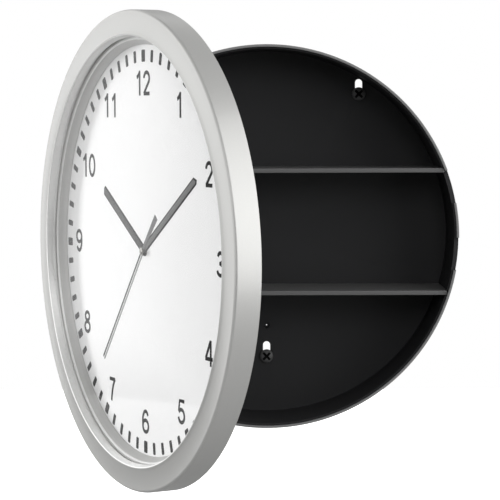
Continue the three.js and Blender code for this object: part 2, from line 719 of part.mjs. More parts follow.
// Catch: a plate on the cover, a tongue behind it and a nose towards the tab
function doorCatch() {
  const seat = at(DOOR_DEPTH + SEAT_GAP);
  const back = seat + CATCH_PLATE;
  const end = back + CATCH_REACH;
  const nose = CASE_BORE - CATCH_CLEARANCE;
  const outline = outlineOf([
    [CATCH_EDGE - CATCH_LENGTH, seat],
    [CATCH_EDGE, seat],
    [CATCH_EDGE, end - 2 * CATCH_NOSE],
    [nose, end - CATCH_NOSE],
    [CATCH_EDGE, end],
    [CATCH_EDGE - CATCH_PLATE, end],
    [CATCH_EDGE - CATCH_PLATE, back],
    [CATCH_EDGE - CATCH_LENGTH, back],
  ]);
  const half = CATCH_WIDTH / 2;
  const body = column(outline, TAB_HEIGHT - half, TAB_HEIGHT + half);
  const bound = rod(CENTRE, nose, seat - OVERRUN, end + OVERRUN, RING_FACETS);
  const hole = rod(catchScrewPlace, SCREW_RADIUS + SCREW_GAP, seat - OVERRUN, back + OVERRUN);
  return body.intersect(bound).subtract(hole);
}

// A bearing: a short tube from the housing's back wall towards the front
function bearing(axis, radius, start) {
  const outer = radius + PIVOT_GAP + BEARING_WALL;
  return {
    boss: rod(axis, outer, at(start), at(HOUSING_ROOF) + HOUSING_WALL / 2),
    bore: rod(axis, radius + PIVOT_GAP, at(start) - OVERRUN, at(HOUSING_ROOF)),
  };
}

const platePosts = [
  [-(HOUSING_ROOM - POST_INSET), HOUSING_ROOM - POST_INSET],
  [HOUSING_ROOM - POST_INSET, HOUSING_ROOM - POST_INSET],
  [-(HOUSING_ROOM - POST_INSET), PARTITION_TOP + POST_INSET],
  [HOUSING_ROOM - POST_INSET, PARTITION_TOP + POST_INSET],
];

function movementFront() {
  const start = at(HOUSING_START);
  const end = at(HOUSING_SPLIT) - SEAT_GAP / 2;
  const tray = prism(roundedSquare(HOUSING_HALF, HOUSING_CORNER), start, end);
  const room = prism(
    roundedSquare(HOUSING_ROOM, HOUSING_CORNER - HOUSING_WALL), at(HOUSING_FLOOR), end + OVERRUN,
  );
  const partition = box(
    -HOUSING_ROOM - HOUSING_WALL / 2, HOUSING_ROOM + HOUSING_WALL / 2,
    start + HOUSING_WALL / 2, end, PARTITION_LOW, PARTITION_TOP,
  );
  const bush = rod(CENTRE, BUSH_RADIUS, at(DIAL_DEPTH + BUSH_STAND), start + HOUSING_WALL / 2);
  const bushBore = rod(CENTRE, BUSH_BORE, at(DIAL_DEPTH) - OVERRUN, at(HOUSING_FLOOR) + OVERRUN);
  const stud = rod(
    MOTION_AXIS, STUD_RADIUS, start + HOUSING_WALL / 2, at(CENTRE_LAYER) - SEAT_GAP,
  );
  const posts = atPlaces(platePosts, (place) => rod(
    place, POST_RADIUS, start + HOUSING_WALL / 2, at(PLATE_LAYER) - SEAT_GAP,
  ));
  const earStart = at(DOOR_DEPTH) + SEAT_GAP;
  const ears = atPlaces([-1, 1], (side) => {
    const near = side * (HOUSING_HALF - HOUSING_WALL / 2);
    const far = side * (HOUSING_HALF + EAR_REACH);
    return box(
      Math.min(near, far), Math.max(near, far), earStart, earStart + HOUSING_WALL,
      -EAR_HEIGHT / 2, EAR_HEIGHT / 2,
    );
  });
  const earHoles = atPlaces(earScrewPlaces, (place) => rod(
    place, SCREW_RADIUS + SCREW_GAP, earStart - OVERRUN, earStart + HOUSING_WALL + OVERRUN,
  ));
  const shell = join([tray.subtract(room), partition, bush, stud, ...posts, ...ears]);
  return cut(shell, [bushBore, ...earHoles]);
}

const boardLeft = -(HOUSING_ROOM - SEAT_GAP);
const boardTop = HOUSING_ROOM - SEAT_GAP;
const statorPosts = [
  [ROTOR_AXIS[0] - MAGNET_RADIUS, ROTOR_AXIS[1] + STATOR_RISE - STATOR_LEG / 2],
  [ROTOR_AXIS[0] + COIL_OFFSET / 2, ROTOR_AXIS[1] - STATOR_RISE + STATOR_LEG / 2],
];
const boardPosts = [
  [boardLeft + POST_INSET, boardTop - POST_INSET],
  [boardLeft + BOARD_WIDTH - POST_INSET, boardTop - BOARD_HEIGHT + POST_INSET],
];

function movementBack() {
  const start = at(HOUSING_SPLIT) + SEAT_GAP / 2;
  const end = at(HOUSING_END);
  const roof = at(HOUSING_ROOF);
  const tray = prism(roundedSquare(HOUSING_HALF, HOUSING_CORNER), start, end);
  const room = prism(
    roundedSquare(HOUSING_ROOM, HOUSING_CORNER - HOUSING_WALL), start - OVERRUN, roof,
  );
  const partition = box(
    -HOUSING_ROOM - HOUSING_WALL / 2, HOUSING_ROOM + HOUSING_WALL / 2,
    start, roof + HOUSING_WALL / 2, PARTITION_LOW, PARTITION_TOP,
  );
  const bay = box(
    -(HOUSING_ROOM - BAY_MARGIN), HOUSING_ROOM - BAY_MARGIN, roof - OVERRUN, end + OVERRUN,
    -(HOUSING_ROOM - BAY_MARGIN), PARTITION_LOW - BAY_MARGIN,
  );
  const bearings = [
    bearing(CENTRE, SECOND_ARBOR, FIFTH_LAYER + WHEEL_THICKNESS + SEAT_GAP),
    bearing(FIFTH_AXIS, TRAIN_ARBOR, HOUSING_ROOF - BEARING_DEPTH),
    bearing(ROTOR_AXIS, SECOND_ARBOR, HOUSING_ROOF - BEARING_DEPTH),
  ];
  const layerBack = at(STATOR_LAYER + STATOR_THICKNESS) + SEAT_GAP;
  const posts = atPlaces([...statorPosts, ...boardPosts], (place) => rod(
    place, POST_RADIUS, layerBack, roof + HOUSING_WALL / 2,
  ));
  const knobHole = rod(KNOB_AXIS, KNOB_SHAFT + PIVOT_GAP, roof - OVERRUN, end + OVERRUN);
  const bosses = bearings.map((item) => item.boss);
  const bores = bearings.map((item) => item.bore);
  return cut(join([tray.subtract(room), partition, ...bosses, ...posts]), [bay, knobHole, ...bores]);
}

function middlePlate() {
  const start = at(PLATE_LAYER);
  const end = start + WHEEL_THICKNESS;
  const edge = HOUSING_ROOM - SEAT_GAP;
  const plate = box(-edge, edge, start, end, PARTITION_TOP + SEAT_GAP, edge);
  const rounds = roundedSquare(HOUSING_ROOM - SEAT_GAP, HOUSING_CORNER);
  const holes = [
    [CENTRE, SECOND_ARBOR + PIVOT_GAP],
    [THIRD_AXIS, TRAIN_ARBOR + PIVOT_GAP],
    [FIFTH_AXIS, TRAIN_ARBOR + PIVOT_GAP],
    [ROTOR_AXIS, SECOND_ARBOR + PIVOT_GAP],
    [KNOB_AXIS, KNOB_SHAFT + PIVOT_GAP],
  ];
  const bores = holes.map(([axis, radius]) => rod(axis, radius, start - OVERRUN, end + OVERRUN));
  return cut(plate.intersect(prism(rounds, start - OVERRUN, end + OVERRUN)), bores);
}

function batteryBody() {
  const half = (BATTERY_LENGTH + BATTERY_NUB_LENGTH) / 2;
  const shoulder = half - BATTERY_NUB_LENGTH;
  const profile = [
    [0, -half],
    [BATTERY_RADIUS - BATTERY_BEVEL, -half],
    [BATTERY_RADIUS, -half + BATTERY_BEVEL],
    [BATTERY_RADIUS, shoulder - BATTERY_BEVEL],
    [BATTERY_RADIUS - BATTERY_BEVEL, shoulder],
    [BATTERY_NUB_RADIUS, shoulder],
    [BATTERY_NUB_RADIUS, half],
    [0, half],
  ];
  return turned(profile, DRUM_FACETS)
    .rotate([0, 0, -90])
    .translate([0, at(BATTERY_DEPTH), BATTERY_HEIGHT]);
}

function contact(side) {
  const near = (BATTERY_LENGTH + BATTERY_NUB_LENGTH) / 2 + SEAT_GAP;
  const far = near + CONTACT_THICKNESS;
  const half = CONTACT_WIDTH / 2;
  return box(
    Math.min(side * near, side * far), Math.max(side * near, side * far),
    at(BATTERY_DEPTH) - half, at(BATTERY_DEPTH) + half,
    BATTERY_HEIGHT - half, BATTERY_HEIGHT + half,
  );
}

const [rotorX, rotorZ] = ROTOR_AXIS;
const coilX = rotorX + COIL_OFFSET;
const coilMiddle = at(STATOR_LAYER) + STATOR_THICKNESS / 2;
const COIL_CORE_HALF = STATOR_LEG / 2 - COIL_CORE_GAP;

// Iron frame: a plate round the rotor, two legs and the core that the coil sits on
function stator() {
  const start = at(STATOR_LAYER);
  const end = start + STATOR_THICKNESS;
  const ring = MAGNET_RADIUS + STATOR_GAP + STATOR_MARGIN;
  const frame = box(
    rotorX - ring, coilX + COIL_CORE_HALF, start, end, rotorZ - STATOR_RISE, rotorZ + STATOR_RISE,
  );
  const window = box(
    rotorX + ring, coilX - COIL_CORE_HALF, start - OVERRUN, end + OVERRUN,
    rotorZ - STATOR_RISE + STATOR_LEG, rotorZ + STATOR_RISE - STATOR_LEG,
  );
  const hole = rod(ROTOR_AXIS, MAGNET_RADIUS + STATOR_GAP, start - OVERRUN, end + OVERRUN);
  return cut(frame, [window, hole]);
}

function coil() {
  const low = rotorZ - STATOR_RISE + STATOR_LEG + SEAT_GAP;
  const high = rotorZ + STATOR_RISE - STATOR_LEG - SEAT_GAP;
  const core = COIL_CORE_HALF + COIL_CORE_GAP;
  const depthHalf = STATOR_THICKNESS / 2 + COIL_CORE_GAP;
  return pillar([coilX, coilMiddle], COIL_RADIUS, low, high).subtract(box(
    coilX - core, coilX + core, coilMiddle - depthHalf, coilMiddle + depthHalf,
    low - OVERRUN, high + OVERRUN,
  ));
}

function circuitBoard() {
  const start = at(STATOR_LAYER);
  const board = box(
    boardLeft, boardLeft + BOARD_WIDTH, start, start + BOARD_THICKNESS,
    boardTop - BOARD_HEIGHT, boardTop,
  );
  const corners = roundedSquare(HOUSING_ROOM - SEAT_GAP, HOUSING_CORNER);
  return board.intersect(prism(corners, start - OVERRUN, start + BOARD_THICKNESS + OVERRUN));
}

function crystal() {
  const geometry = new THREE.CylinderGeometry(
    CRYSTAL_RADIUS, CRYSTAL_RADIUS, CRYSTAL_LENGTH, ROD_FACETS,
  );
  geometry.rotateZ(Math.PI / 2);
  geometry.translate(
    boardLeft + BOARD_WIDTH / 2,
    at(STATOR_LAYER) - SEAT_GAP - CRYSTAL_RADIUS,
    boardTop - BOARD_HEIGHT / 2,
  );
  return solid(geometry);
}

// Phases that bring the teeth of each pair between each other
const cannonPhase = 0;
const motionPhase = meshPhase(cannonPhase, CANNON_TEETH, MOTION_ANGLE, MOTION_TEETH);
const knobPhase = meshPhase(motionPhase, MOTION_TEETH, KNOB_ANGLE, KNOB_TEETH);
const hourPinionPhase = 0;
const hourPhase = meshPhase(
  hourPinionPhase, HOUR_PINION_TEETH, MOTION_ANGLE + 180, HOUR_TEETH,
);
const centrePhase = 0;
const thirdPinionPhase = meshPhase(centrePhase, CENTRE_TEETH, THIRD_ANGLE, THIRD_PINION_TEETH);
const secondPinionPhase = 0;
const thirdPhase = meshPhase(
  secondPinionPhase, SECOND_PINION_TEETH, THIRD_ANGLE, THIRD_TEETH,
);
const secondPhase = 0;
const fifthPinionPhase = meshPhase(secondPhase, SECOND_TEETH, FIFTH_ANGLE, FIFTH_PINION_TEETH);
const fifthPhase = 0;
const rotorPinionPhase = meshPhase(fifthPhase, FIFTH_TEETH, ROTOR_ANGLE, ROTOR_PINION_TEETH);

function hourWheel() {
  const wheel = gear(HOUR_TEETH, HOUR_MODULE, hourPhase, CENTRE, HOUR_LAYER, MOTION_THICKNESS);
  const pipe = rod(
    CENTRE, HOUR_PIPE, at(HOUR_HAND_DEPTH), at(HOUR_LAYER) + MOTION_THICKNESS / 2,
  );
  const bore = rod(
    CENTRE, HOUR_BORE, at(HOUR_HAND_DEPTH) - OVERRUN, at(HOUR_LAYER) + MOTION_THICKNESS + OVERRUN,
  );
  return wheel.add(pipe).subtract(bore);
}

function minuteArbor() {
  const start = at(MINUTE_HAND_DEPTH);
  const end = at(CENTRE_LAYER) + WHEEL_THICKNESS + SEAT_GAP;
  const pinion = gear(
    CANNON_TEETH, MOTION_MODULE, cannonPhase, CENTRE, MOTION_LAYER, MOTION_THICKNESS,
  );
  const tube = rod(CENTRE, MINUTE_ARBOR, start, end);
  return pinion.add(tube).subtract(rod(CENTRE, MINUTE_BORE, start - OVERRUN, end + OVERRUN));
}

function motionWheel() {
  const wheel = gear(
    MOTION_TEETH, MOTION_MODULE, motionPhase, MOTION_AXIS, MOTION_LAYER, MOTION_THICKNESS,
  );
  const pinion = prism(
    gearOutline(HOUR_PINION_TEETH, HOUR_MODULE, hourPinionPhase, MOTION_AXIS),
    at(HOUR_LAYER), at(MOTION_LAYER) + MOTION_THICKNESS / 2,
  );
  const bore = rod(
    MOTION_AXIS, STUD_RADIUS + STUD_GAP, at(HOUR_LAYER) - OVERRUN, at(CENTRE_LAYER) + OVERRUN,
  );
  return wheel.add(pinion).subtract(bore);
}

function setKnob() {
  const back = at(HOUSING_END) + SEAT_GAP;
  const pinion = gear(
    KNOB_TEETH, MOTION_MODULE, knobPhase, KNOB_AXIS, MOTION_LAYER, MOTION_THICKNESS,
  );
  const shaft = rod(KNOB_AXIS, KNOB_SHAFT, at(HOUR_LAYER), back + KNOB_HEIGHT / 2);
  const disk = rod(KNOB_AXIS, KNOB_RADIUS, back, back + KNOB_HEIGHT, DRUM_FACETS);
  const flutes = Array.from({ length: KNOB_FLUTES }, (_, i) => rod(
    polar(KNOB_RADIUS, (360 / KNOB_FLUTES) * i, KNOB_AXIS),
    KNOB_FLUTE_RADIUS, back - OVERRUN, back + KNOB_HEIGHT + OVERRUN, FLUTE_FACETS,
  ));
  return join([pinion, shaft, cut(disk, flutes)]);
}

function centreWheel() {
  const wheel = gear(
    CENTRE_TEETH, TRAIN_MODULE, centrePhase, CENTRE, CENTRE_LAYER, WHEEL_THICKNESS,
  );
  return wheel.subtract(rod(
    CENTRE, MINUTE_ARBOR + PRESS_GAP, at(CENTRE_LAYER) - OVERRUN,
    at(CENTRE_LAYER) + WHEEL_THICKNESS + OVERRUN,
  ));
}

function thirdWheel() {
  const wheel = gear(
    THIRD_TEETH, THIRD_MODULE, thirdPhase, THIRD_AXIS, THIRD_LAYER, WHEEL_THICKNESS,
  );
  const pinion = gear(
    THIRD_PINION_TEETH, TRAIN_MODULE, thirdPinionPhase, THIRD_AXIS, CENTRE_LAYER, WHEEL_THICKNESS,
  );
  const arbor = rod(
    THIRD_AXIS, TRAIN_ARBOR, at(HOUSING_FLOOR) + SEAT_GAP, at(PLATE_LAYER) + WHEEL_THICKNESS,
  );
  return join([wheel, pinion, arbor]);
}

function secondWheel() {
  const wheel = gear(
    SECOND_TEETH, TRAIN_MODULE, secondPhase, CENTRE, SECOND_LAYER, WHEEL_THICKNESS,
  );
  const pinion = gear(
    SECOND_PINION_TEETH, THIRD_MODULE, secondPinionPhase, CENTRE, THIRD_LAYER, WHEEL_THICKNESS,
  );
  const arbor = rod(
    CENTRE, SECOND_ARBOR, at(SECOND_HAND_DEPTH) - PRESS_GAP / 2, at(HOUSING_ROOF) - SEAT_GAP,
  );
  return join([wheel, pinion, arbor]);
}

function fifthWheel() {
  const wheel = gear(
    FIFTH_TEETH, TRAIN_MODULE, fifthPhase, FIFTH_AXIS, FIFTH_LAYER, WHEEL_THICKNESS,
  );
  const pinion = gear(
    FIFTH_PINION_TEETH, TRAIN_MODULE, fifthPinionPhase, FIFTH_AXIS, SECOND_LAYER, WHEEL_THICKNESS,
  );
  const arbor = rod(FIFTH_AXIS, TRAIN_ARBOR, at(PLATE_LAYER), at(HOUSING_ROOF) - SEAT_GAP);
  return join([wheel, pinion, arbor]);
}

function rotor() {
  const pinion = gear(
    ROTOR_PINION_TEETH, TRAIN_MODULE, rotorPinionPhase, ROTOR_AXIS, FIFTH_LAYER, WHEEL_THICKNESS,
  );
  const magnet = rod(
    ROTOR_AXIS, MAGNET_RADIUS, at(ROTOR_LAYER), at(ROTOR_LAYER) + MAGNET_HEIGHT,
  );
  const arbor = rod(ROTOR_AXIS, SECOND_ARBOR, at(PLATE_LAYER), at(HOUSING_ROOF) - SEAT_GAP);
  return join([pinion, magnet, arbor]);
}

// Hands are drawn pointing at 12. Their tips are points across and along the hand.
const HOUR_TIP_SHARES = [[-0.5, 0.995], [0.5, 1], [0.5, 0.985]];
const MINUTE_TIP_SHARES = [[-0.5, 0.965], [0.15, 1], [0.5, 0.98]];

function barHand(length, hub, bore, tipShares, depth) {
  const bar = outlineOf([
    [-HAND_WIDTH / 2, 0],
    ...tipShares.map(([across, along]) => [across * HAND_WIDTH, along * length]),
    [HAND_WIDTH / 2, 0],
  ]);
  const start = at(depth);
  const end = start + HAND_THICKNESS;
  return prism(bar, start, end)
    .add(rod(CENTRE, hub, start, end))
    .subtract(rod(CENTRE, bore, start - OVERRUN, end + OVERRUN));
}

function secondHand() {
  const start = at(SECOND_HAND_DEPTH);
  const end = start + SECOND_HAND_THICKNESS;
  const needle = outlineOf([
    [-SECOND_HUB / 2, 0],
    [-SECOND_WIDTH / 2, SECOND_LENGTH / 2],
    [-SECOND_WIDTH / 2, SECOND_LENGTH],
    [SECOND_WIDTH / 2, SECOND_LENGTH],
    [SECOND_WIDTH / 2, SECOND_LENGTH / 2],
    [SECOND_HUB / 2, 0],
    [SECOND_TAIL_WIDTH / 2, -SECOND_TAIL],
    [-SECOND_TAIL_WIDTH / 2, -SECOND_TAIL],
  ]);
  return prism(needle, start, end)
    .add(rod(CENTRE, SECOND_HUB, start, end))
    .subtract(rod(CENTRE, SECOND_ARBOR + PRESS_GAP, start - OVERRUN, end + OVERRUN));
}

// Cap over the middle: a low dome
function secondCap() {
  return turned([
    [0, at(CAP_DEPTH)],
    [CAP_RADIUS / 2, at(CAP_DEPTH)],
    [CAP_RADIUS, at(CAP_DEPTH) + CAP_HEIGHT / 2],
    [CAP_RADIUS, at(CAP_DEPTH) + CAP_HEIGHT],
    [0, at(CAP_DEPTH) + CAP_HEIGHT],
  ], ROD_FACETS);
}

// Case
add('case_shell', caseShell(), blackPlastic);
add('shelf_upper', shelfBody(UPPER_SHELF_HEIGHT, 0), blackPlastic);
add('shelf_lower', shelfBody(LOWER_SHELF_HEIGHT, 0), blackPlastic);
add('hinge_pin_upper', hingePin(1), brightMetal);
add('hinge_pin_lower', hingePin(-1), brightMetal);
['left', 'right', 'lower'].forEach((name, i) => {
  add(`wall_screw_${name}`, wallScrew(slotPlaces[i]), blackScrew);
});

// Door
add('bezel_ring', bezelRing(), silverPaint, door);
add('lens', disc(LENS_RADIUS, LENS_DEPTH, LENS_THICKNESS), clearPlastic, door);
add('dial_ring', dialRing(), silverPaint, door);
const dialHole = rod(
  CENTRE, BUSH_RADIUS + DIAL_HOLE_GAP, at(DIAL_DEPTH) - OVERRUN, at(COVER_DEPTH) + OVERRUN,
);
add('dial', disc(LENS_RADIUS, DIAL_DEPTH, DIAL_THICKNESS).subtract(dialHole), dialWhite, door);
add('rear_cover', rearCover(), darkPlastic, door);
screwPlaces.forEach((place, i) => {
  const seat = COVER_SEAT + PRESS_GAP / 2;
  const screw = smallScrew(place, seat, BOSS_BORE_DEPTH + SCREW_TIP_GAP);
  add(`cover_screw_${i + 1}`, screw, brightMetal, door);
});
add('door_catch', doorCatch(), darkPlastic, door);
add('catch_screw', smallScrew(
  catchScrewPlace, DOOR_DEPTH + 2 * SEAT_GAP + CATCH_PLATE, COVER_DEPTH + SEAT_GAP,
), brightMetal, door);

// Movement
add('movement_front', movementFront(), milkPlastic, door);
add('movement_back', movementBack(), darkPlastic, door);
['left', 'right'].forEach((name, i) => {
  const seat = DOOR_DEPTH + 2 * SEAT_GAP + HOUSING_WALL;
  const screw = smallScrew(earScrewPlaces[i], seat, COVER_DEPTH + SEAT_GAP);
  add(`movement_screw_${name}`, screw, brightMetal, door);
});
add('middle_plate', middlePlate(), milkPlastic, door);
add('battery', batteryBody(), batteryWrap, door);
add('contact_positive', contact(1), brightMetal, door);
add('contact_negative', contact(-1), brightMetal, door);
add('stator', stator(), brightMetal, door);
add('coil', coil(), copperWire, door);
add('circuit_board', circuitBoard(), boardGreen, door);
add('crystal', crystal(), brightMetal, door);

// Wheels
add('hour_wheel', hourWheel(), milkPlastic, door);
add('minute_arbor', minuteArbor(), brassMetal, door);
add('motion_wheel', motionWheel(), milkPlastic, door);
add('set_knob', setKnob(), darkPlastic, door);
add('centre_wheel', centreWheel(), milkPlastic, door);
add('third_wheel', thirdWheel(), milkPlastic, door);
add('second_wheel', secondWheel(), milkPlastic, door);
add('fifth_wheel', fifthWheel(), milkPlastic, door);
add('rotor', rotor(), brightMetal, door);

// Hands
const hands = [
  ['hour_hand', HOUR_ANGLE, greyHand, barHand(
    HOUR_LENGTH, HOUR_HUB, HOUR_PIPE + PRESS_GAP, HOUR_TIP_SHARES, HOUR_HAND_DEPTH,
  )],
  ['minute_hand', MINUTE_ANGLE, greyHand, barHand(
    MINUTE_LENGTH, MINUTE_HUB, MINUTE_ARBOR + PRESS_GAP, MINUTE_TIP_SHARES, MINUTE_HAND_DEPTH,
  )],
  ['second_hand', SECOND_ANGLE, brightMetal, secondHand()],
];
hands.forEach(([name, angle, material, body]) => {
  add(name, body, material, door).rotation.y = rad(angle);
});
add('second_cap', secondCap(), brightMetal, door);

export default safe;
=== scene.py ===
# %% [markdown]
# # A wall clock that hides a safe
# The front of this clock is the door of a shallow round case. Behind the door are two shelves
# and the slots for the screws in the wall, and the movement sits on the back of the door.
# The pieces that carry load, move or fasten are made already, as faceted solids. This script
# builds the surfaces that the eye reads at full smoothness and gives every piece its finish.

# %% Load the frame
import json
import math

import bmesh
import bpy
from mathutils import Matrix, Vector


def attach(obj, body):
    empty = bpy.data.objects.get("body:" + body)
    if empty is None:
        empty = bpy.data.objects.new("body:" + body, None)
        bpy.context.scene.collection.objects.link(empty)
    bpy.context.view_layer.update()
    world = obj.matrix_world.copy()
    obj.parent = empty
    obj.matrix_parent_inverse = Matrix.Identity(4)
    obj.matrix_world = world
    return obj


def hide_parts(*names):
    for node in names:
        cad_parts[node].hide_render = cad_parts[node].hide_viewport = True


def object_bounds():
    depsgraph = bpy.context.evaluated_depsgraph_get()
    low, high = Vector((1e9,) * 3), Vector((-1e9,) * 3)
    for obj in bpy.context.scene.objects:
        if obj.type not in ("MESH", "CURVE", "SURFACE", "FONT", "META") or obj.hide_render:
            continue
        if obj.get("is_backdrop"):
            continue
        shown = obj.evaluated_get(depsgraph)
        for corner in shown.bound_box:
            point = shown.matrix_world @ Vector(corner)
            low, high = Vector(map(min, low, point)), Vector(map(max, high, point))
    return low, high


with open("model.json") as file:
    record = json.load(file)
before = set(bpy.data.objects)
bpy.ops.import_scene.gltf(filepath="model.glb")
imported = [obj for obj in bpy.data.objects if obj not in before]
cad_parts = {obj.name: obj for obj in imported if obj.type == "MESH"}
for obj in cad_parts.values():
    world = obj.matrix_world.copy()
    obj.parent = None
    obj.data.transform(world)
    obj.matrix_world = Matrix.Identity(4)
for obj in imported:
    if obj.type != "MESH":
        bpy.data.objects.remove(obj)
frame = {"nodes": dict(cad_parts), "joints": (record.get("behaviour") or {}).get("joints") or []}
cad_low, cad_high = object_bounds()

print("solids in the frame:", len(frame["nodes"]))

# %% [markdown]
# ## Where the door is
# The door stands open, so its pieces are drawn in a frame of their own, in millimetres: x to
# the right across the closed door, y into the door from its front face, z up. The axis of the
# hands gives that frame its direction, and the foremost point of the ring gives its front.
# Wherever a solid gives a size or a place, it's measured and not typed again.

# %% Frame of the door
MM = 0.001
joints = {joint["name"]: joint for joint in frame["joints"]}
inward = Vector(joints["minute_turn"]["axis"])
upward = Vector((0, 0, 1))
rightward = inward.cross(upward)
hand_axis = Vector(joints["minute_turn"]["pos_m"])
ring_points = [point.co for point in frame["nodes"]["bezel_ring"].data.vertices]
door_front = hand_axis + inward * min((point - hand_axis).dot(inward) for point in ring_points)
door_place = Matrix((rightward, inward, upward)).transposed().to_4x4()
door_place.translation = door_front
door_frame = door_place.inverted()


def span(node, place=Matrix.Identity(4)):
    """Lowest and highest corner of a solid in mm, in the frame that place turns it into."""
    points = [place @ point.co / MM for point in frame["nodes"][node].data.vertices]
    low = Vector(min(point[i] for point in points) for i in range(3))
    high = Vector(max(point[i] for point in points) for i in range(3))
    return low, high


def door_span(node):
    return span(node, door_frame)


cover_low, cover_high = door_span("rear_cover")
RING_RADIUS = door_span("bezel_ring")[1].z
CASE_RADIUS = span("case_shell")[1].z
DOOR_DEPTH = cover_high.y
print(f"ring {2 * RING_RADIUS:.0f} mm across, door {DOOR_DEPTH:.1f} mm deep")

# %% [markdown]
# ## Camera
# The photograph was taken from almost straight ahead with a long lens, a little above the
# middle, so the case keeps a true circle and the open door a slim ellipse. The place, the
# turn and the lens were worked out from the outlines of the ring and of the case.

# %% Camera
CAMERA_PLACE = Vector((-5.515, -1209.754, 74.408)) * MM
CAMERA_YAW = 0.214
CAMERA_PITCH = -4.0499
CAMERA_ROLL = -0.1581
LENS_LENGTH = 142.48
SENSOR_WIDTH = 36

yaw, pitch, roll = (math.radians(turn) for turn in (CAMERA_YAW, CAMERA_PITCH, CAMERA_ROLL))
camera_turn = (
    Matrix.Rotation(yaw, 4, "Z")
    @ Matrix.Rotation(math.pi / 2 + pitch, 4, "X")
    @ Matrix.Rotation(roll, 4, "Z")
)
camera_data = bpy.data.cameras.new("camera")
camera_data.lens = LENS_LENGTH
camera_data.sensor_width = SENSOR_WIDTH
camera = bpy.data.objects.new("camera", camera_data)
camera.matrix_world = Matrix.Translation(CAMERA_PLACE) @ camera_turn
bpy.context.collection.objects.link(camera)
bpy.context.scene.camera = camera
print("camera at", [round(value, 3) for value in CAMERA_PLACE])

# %% [markdown]
# ## Finishes
# Every finish starts from the real material and how its surface was made. Colours are sRGB hex
# values, as they look, and one function turns them to the linear values of the shaders.
# Patterns lie in each piece's own coordinates, so their grain is worked out in millimetres.

# %% Helpers for finishes
COLOUR_1, COLOUR_2 = 6, 7  # sockets of a Mix node that blends two colours
VALUE_1, VALUE_2 = 2, 3  # sockets of one that blends two plain values
NOISE_CORE = (0.3, 0.7)  # the range in which most values of a noise lie


def to_linear(hex_colour):
    """Linear values of a colour that is written as sRGB hex."""
    shares = [int(hex_colour[i:i + 2], 16) / 255 for i in (1, 3, 5)]
    return [
        share / 12.92 if share <= 0.04045 else ((share + 0.055) / 1.055) ** 2.4
        for share in shares
    ] + [1]


def add_node(tree, kind, values=None, links=None, **settings):
    """A shader node with its settings, plain socket values and incoming links."""
    node = tree.nodes.new("ShaderNode" + kind)
    for name, value in settings.items():
        setattr(node, name, value)
    for socket, value in (values or {}).items():
        node.inputs[socket].default_value = value
    for socket, source in (links or {}).items():
        tree.links.new(source, node.inputs[socket])
    return node


def empty_finish(name):
    """A new material that has no node yet."""
    finish = bpy.data.materials.new(name)
    finish.use_nodes = True
    finish.node_tree.nodes.clear()
    return finish, finish.node_tree


def start_finish(name, shader_values):
    """A new material whose surface is one Principled shader."""
    finish, tree = empty_finish(name)
    shader = add_node(tree, "BsdfPrincipled", shader_values)
    add_node(tree, "OutputMaterial", links={"Surface": shader.outputs[0]})
    place = add_node(tree, "TexCoord").outputs["Object"]
    return finish, tree, shader, place


def follow_pattern(tree, shader, pattern, roughness, colours=(), core=(0, 1), relief=()):
    """Ties a finish to a pattern: its roughness, and if given its colours and its relief.

    Roughness and colours hold two ends each. Relief is a strength and a height in mm.
    """
    rough = add_node(tree, "MapRange", {
        "From Min": core[0], "From Max": core[1], "To Min": roughness[0], "To Max": roughness[1],
    }, {"Value": pattern})
    tree.links.new(rough.outputs[0], shader.inputs["Roughness"])
    if colours:
        tint = add_node(tree, "Mix", {
            COLOUR_1: to_linear(colours[0]), COLOUR_2: to_linear(colours[1]),
        }, {0: pattern}, data_type="RGBA")
        tree.links.new(tint.outputs[2], shader.inputs["Base Color"])
    if relief:
        bump = add_node(tree, "Bump", {
            "Strength": relief[0], "Distance": relief[1] * MM,
        }, {"Height": pattern})
        tree.links.new(bump.outputs[0], shader.inputs["Normal"])


def grain(size):
    """Scale of a noise whose grains are this many millimetres wide."""
    return 1 / (size * MM)


def mottled(name, shader_values, size, detail, roughness, colours=()):
    """A finish that a noise makes a little uneven, with grains of a size in mm."""
    finish, tree, shader, place = start_finish(name, shader_values)
    noise = add_node(tree, "TexNoise", {"Scale": grain(size), "Detail": detail}, {"Vector": place})
    follow_pattern(tree, shader, noise.outputs["Fac"], roughness, colours)
    return finish


print("helpers for finishes ready")

# %% [markdown]
# ### Moulded black ABS
# The case, its shelves and the back of the door are injection moulded in black ABS. The mould
# was spark eroded, so the surface carries a fine, even grain that breaks up the highlights:
# a relief and a spread of roughness from one noise. The real grain is about 0.3 mm, and it's
# drawn coarser on the case, to show from a step away. The shelves and the lip of the rim are
# coloured a paler grey, a painted highlight for the light on their rounded edges. The wall
# screws have a skin of black oxide, as dull as grained plastic, and the cross in their heads
# is coloured the deepest black as painted shade.

# %% Black ABS
def grained_black(name, colour, roughness, spread, grain_size, grain_depth, gloss):
    """A black with a fine grain. The size and the depth of its grains are in mm."""
    finish, tree, shader, place = start_finish(name, {
        "Base Color": to_linear(colour), "IOR": 1.53, "Specular IOR Level": gloss,
    })
    grains = add_node(tree, "TexNoise", {
        "Scale": grain(grain_size), "Detail": 3, "Roughness": 0.6,
    }, {"Vector": place})
    follow_pattern(
        tree, shader, grains.outputs["Fac"], (roughness - spread, roughness + spread),
        core=NOISE_CORE, relief=(0.6, grain_depth),
    )
    return finish


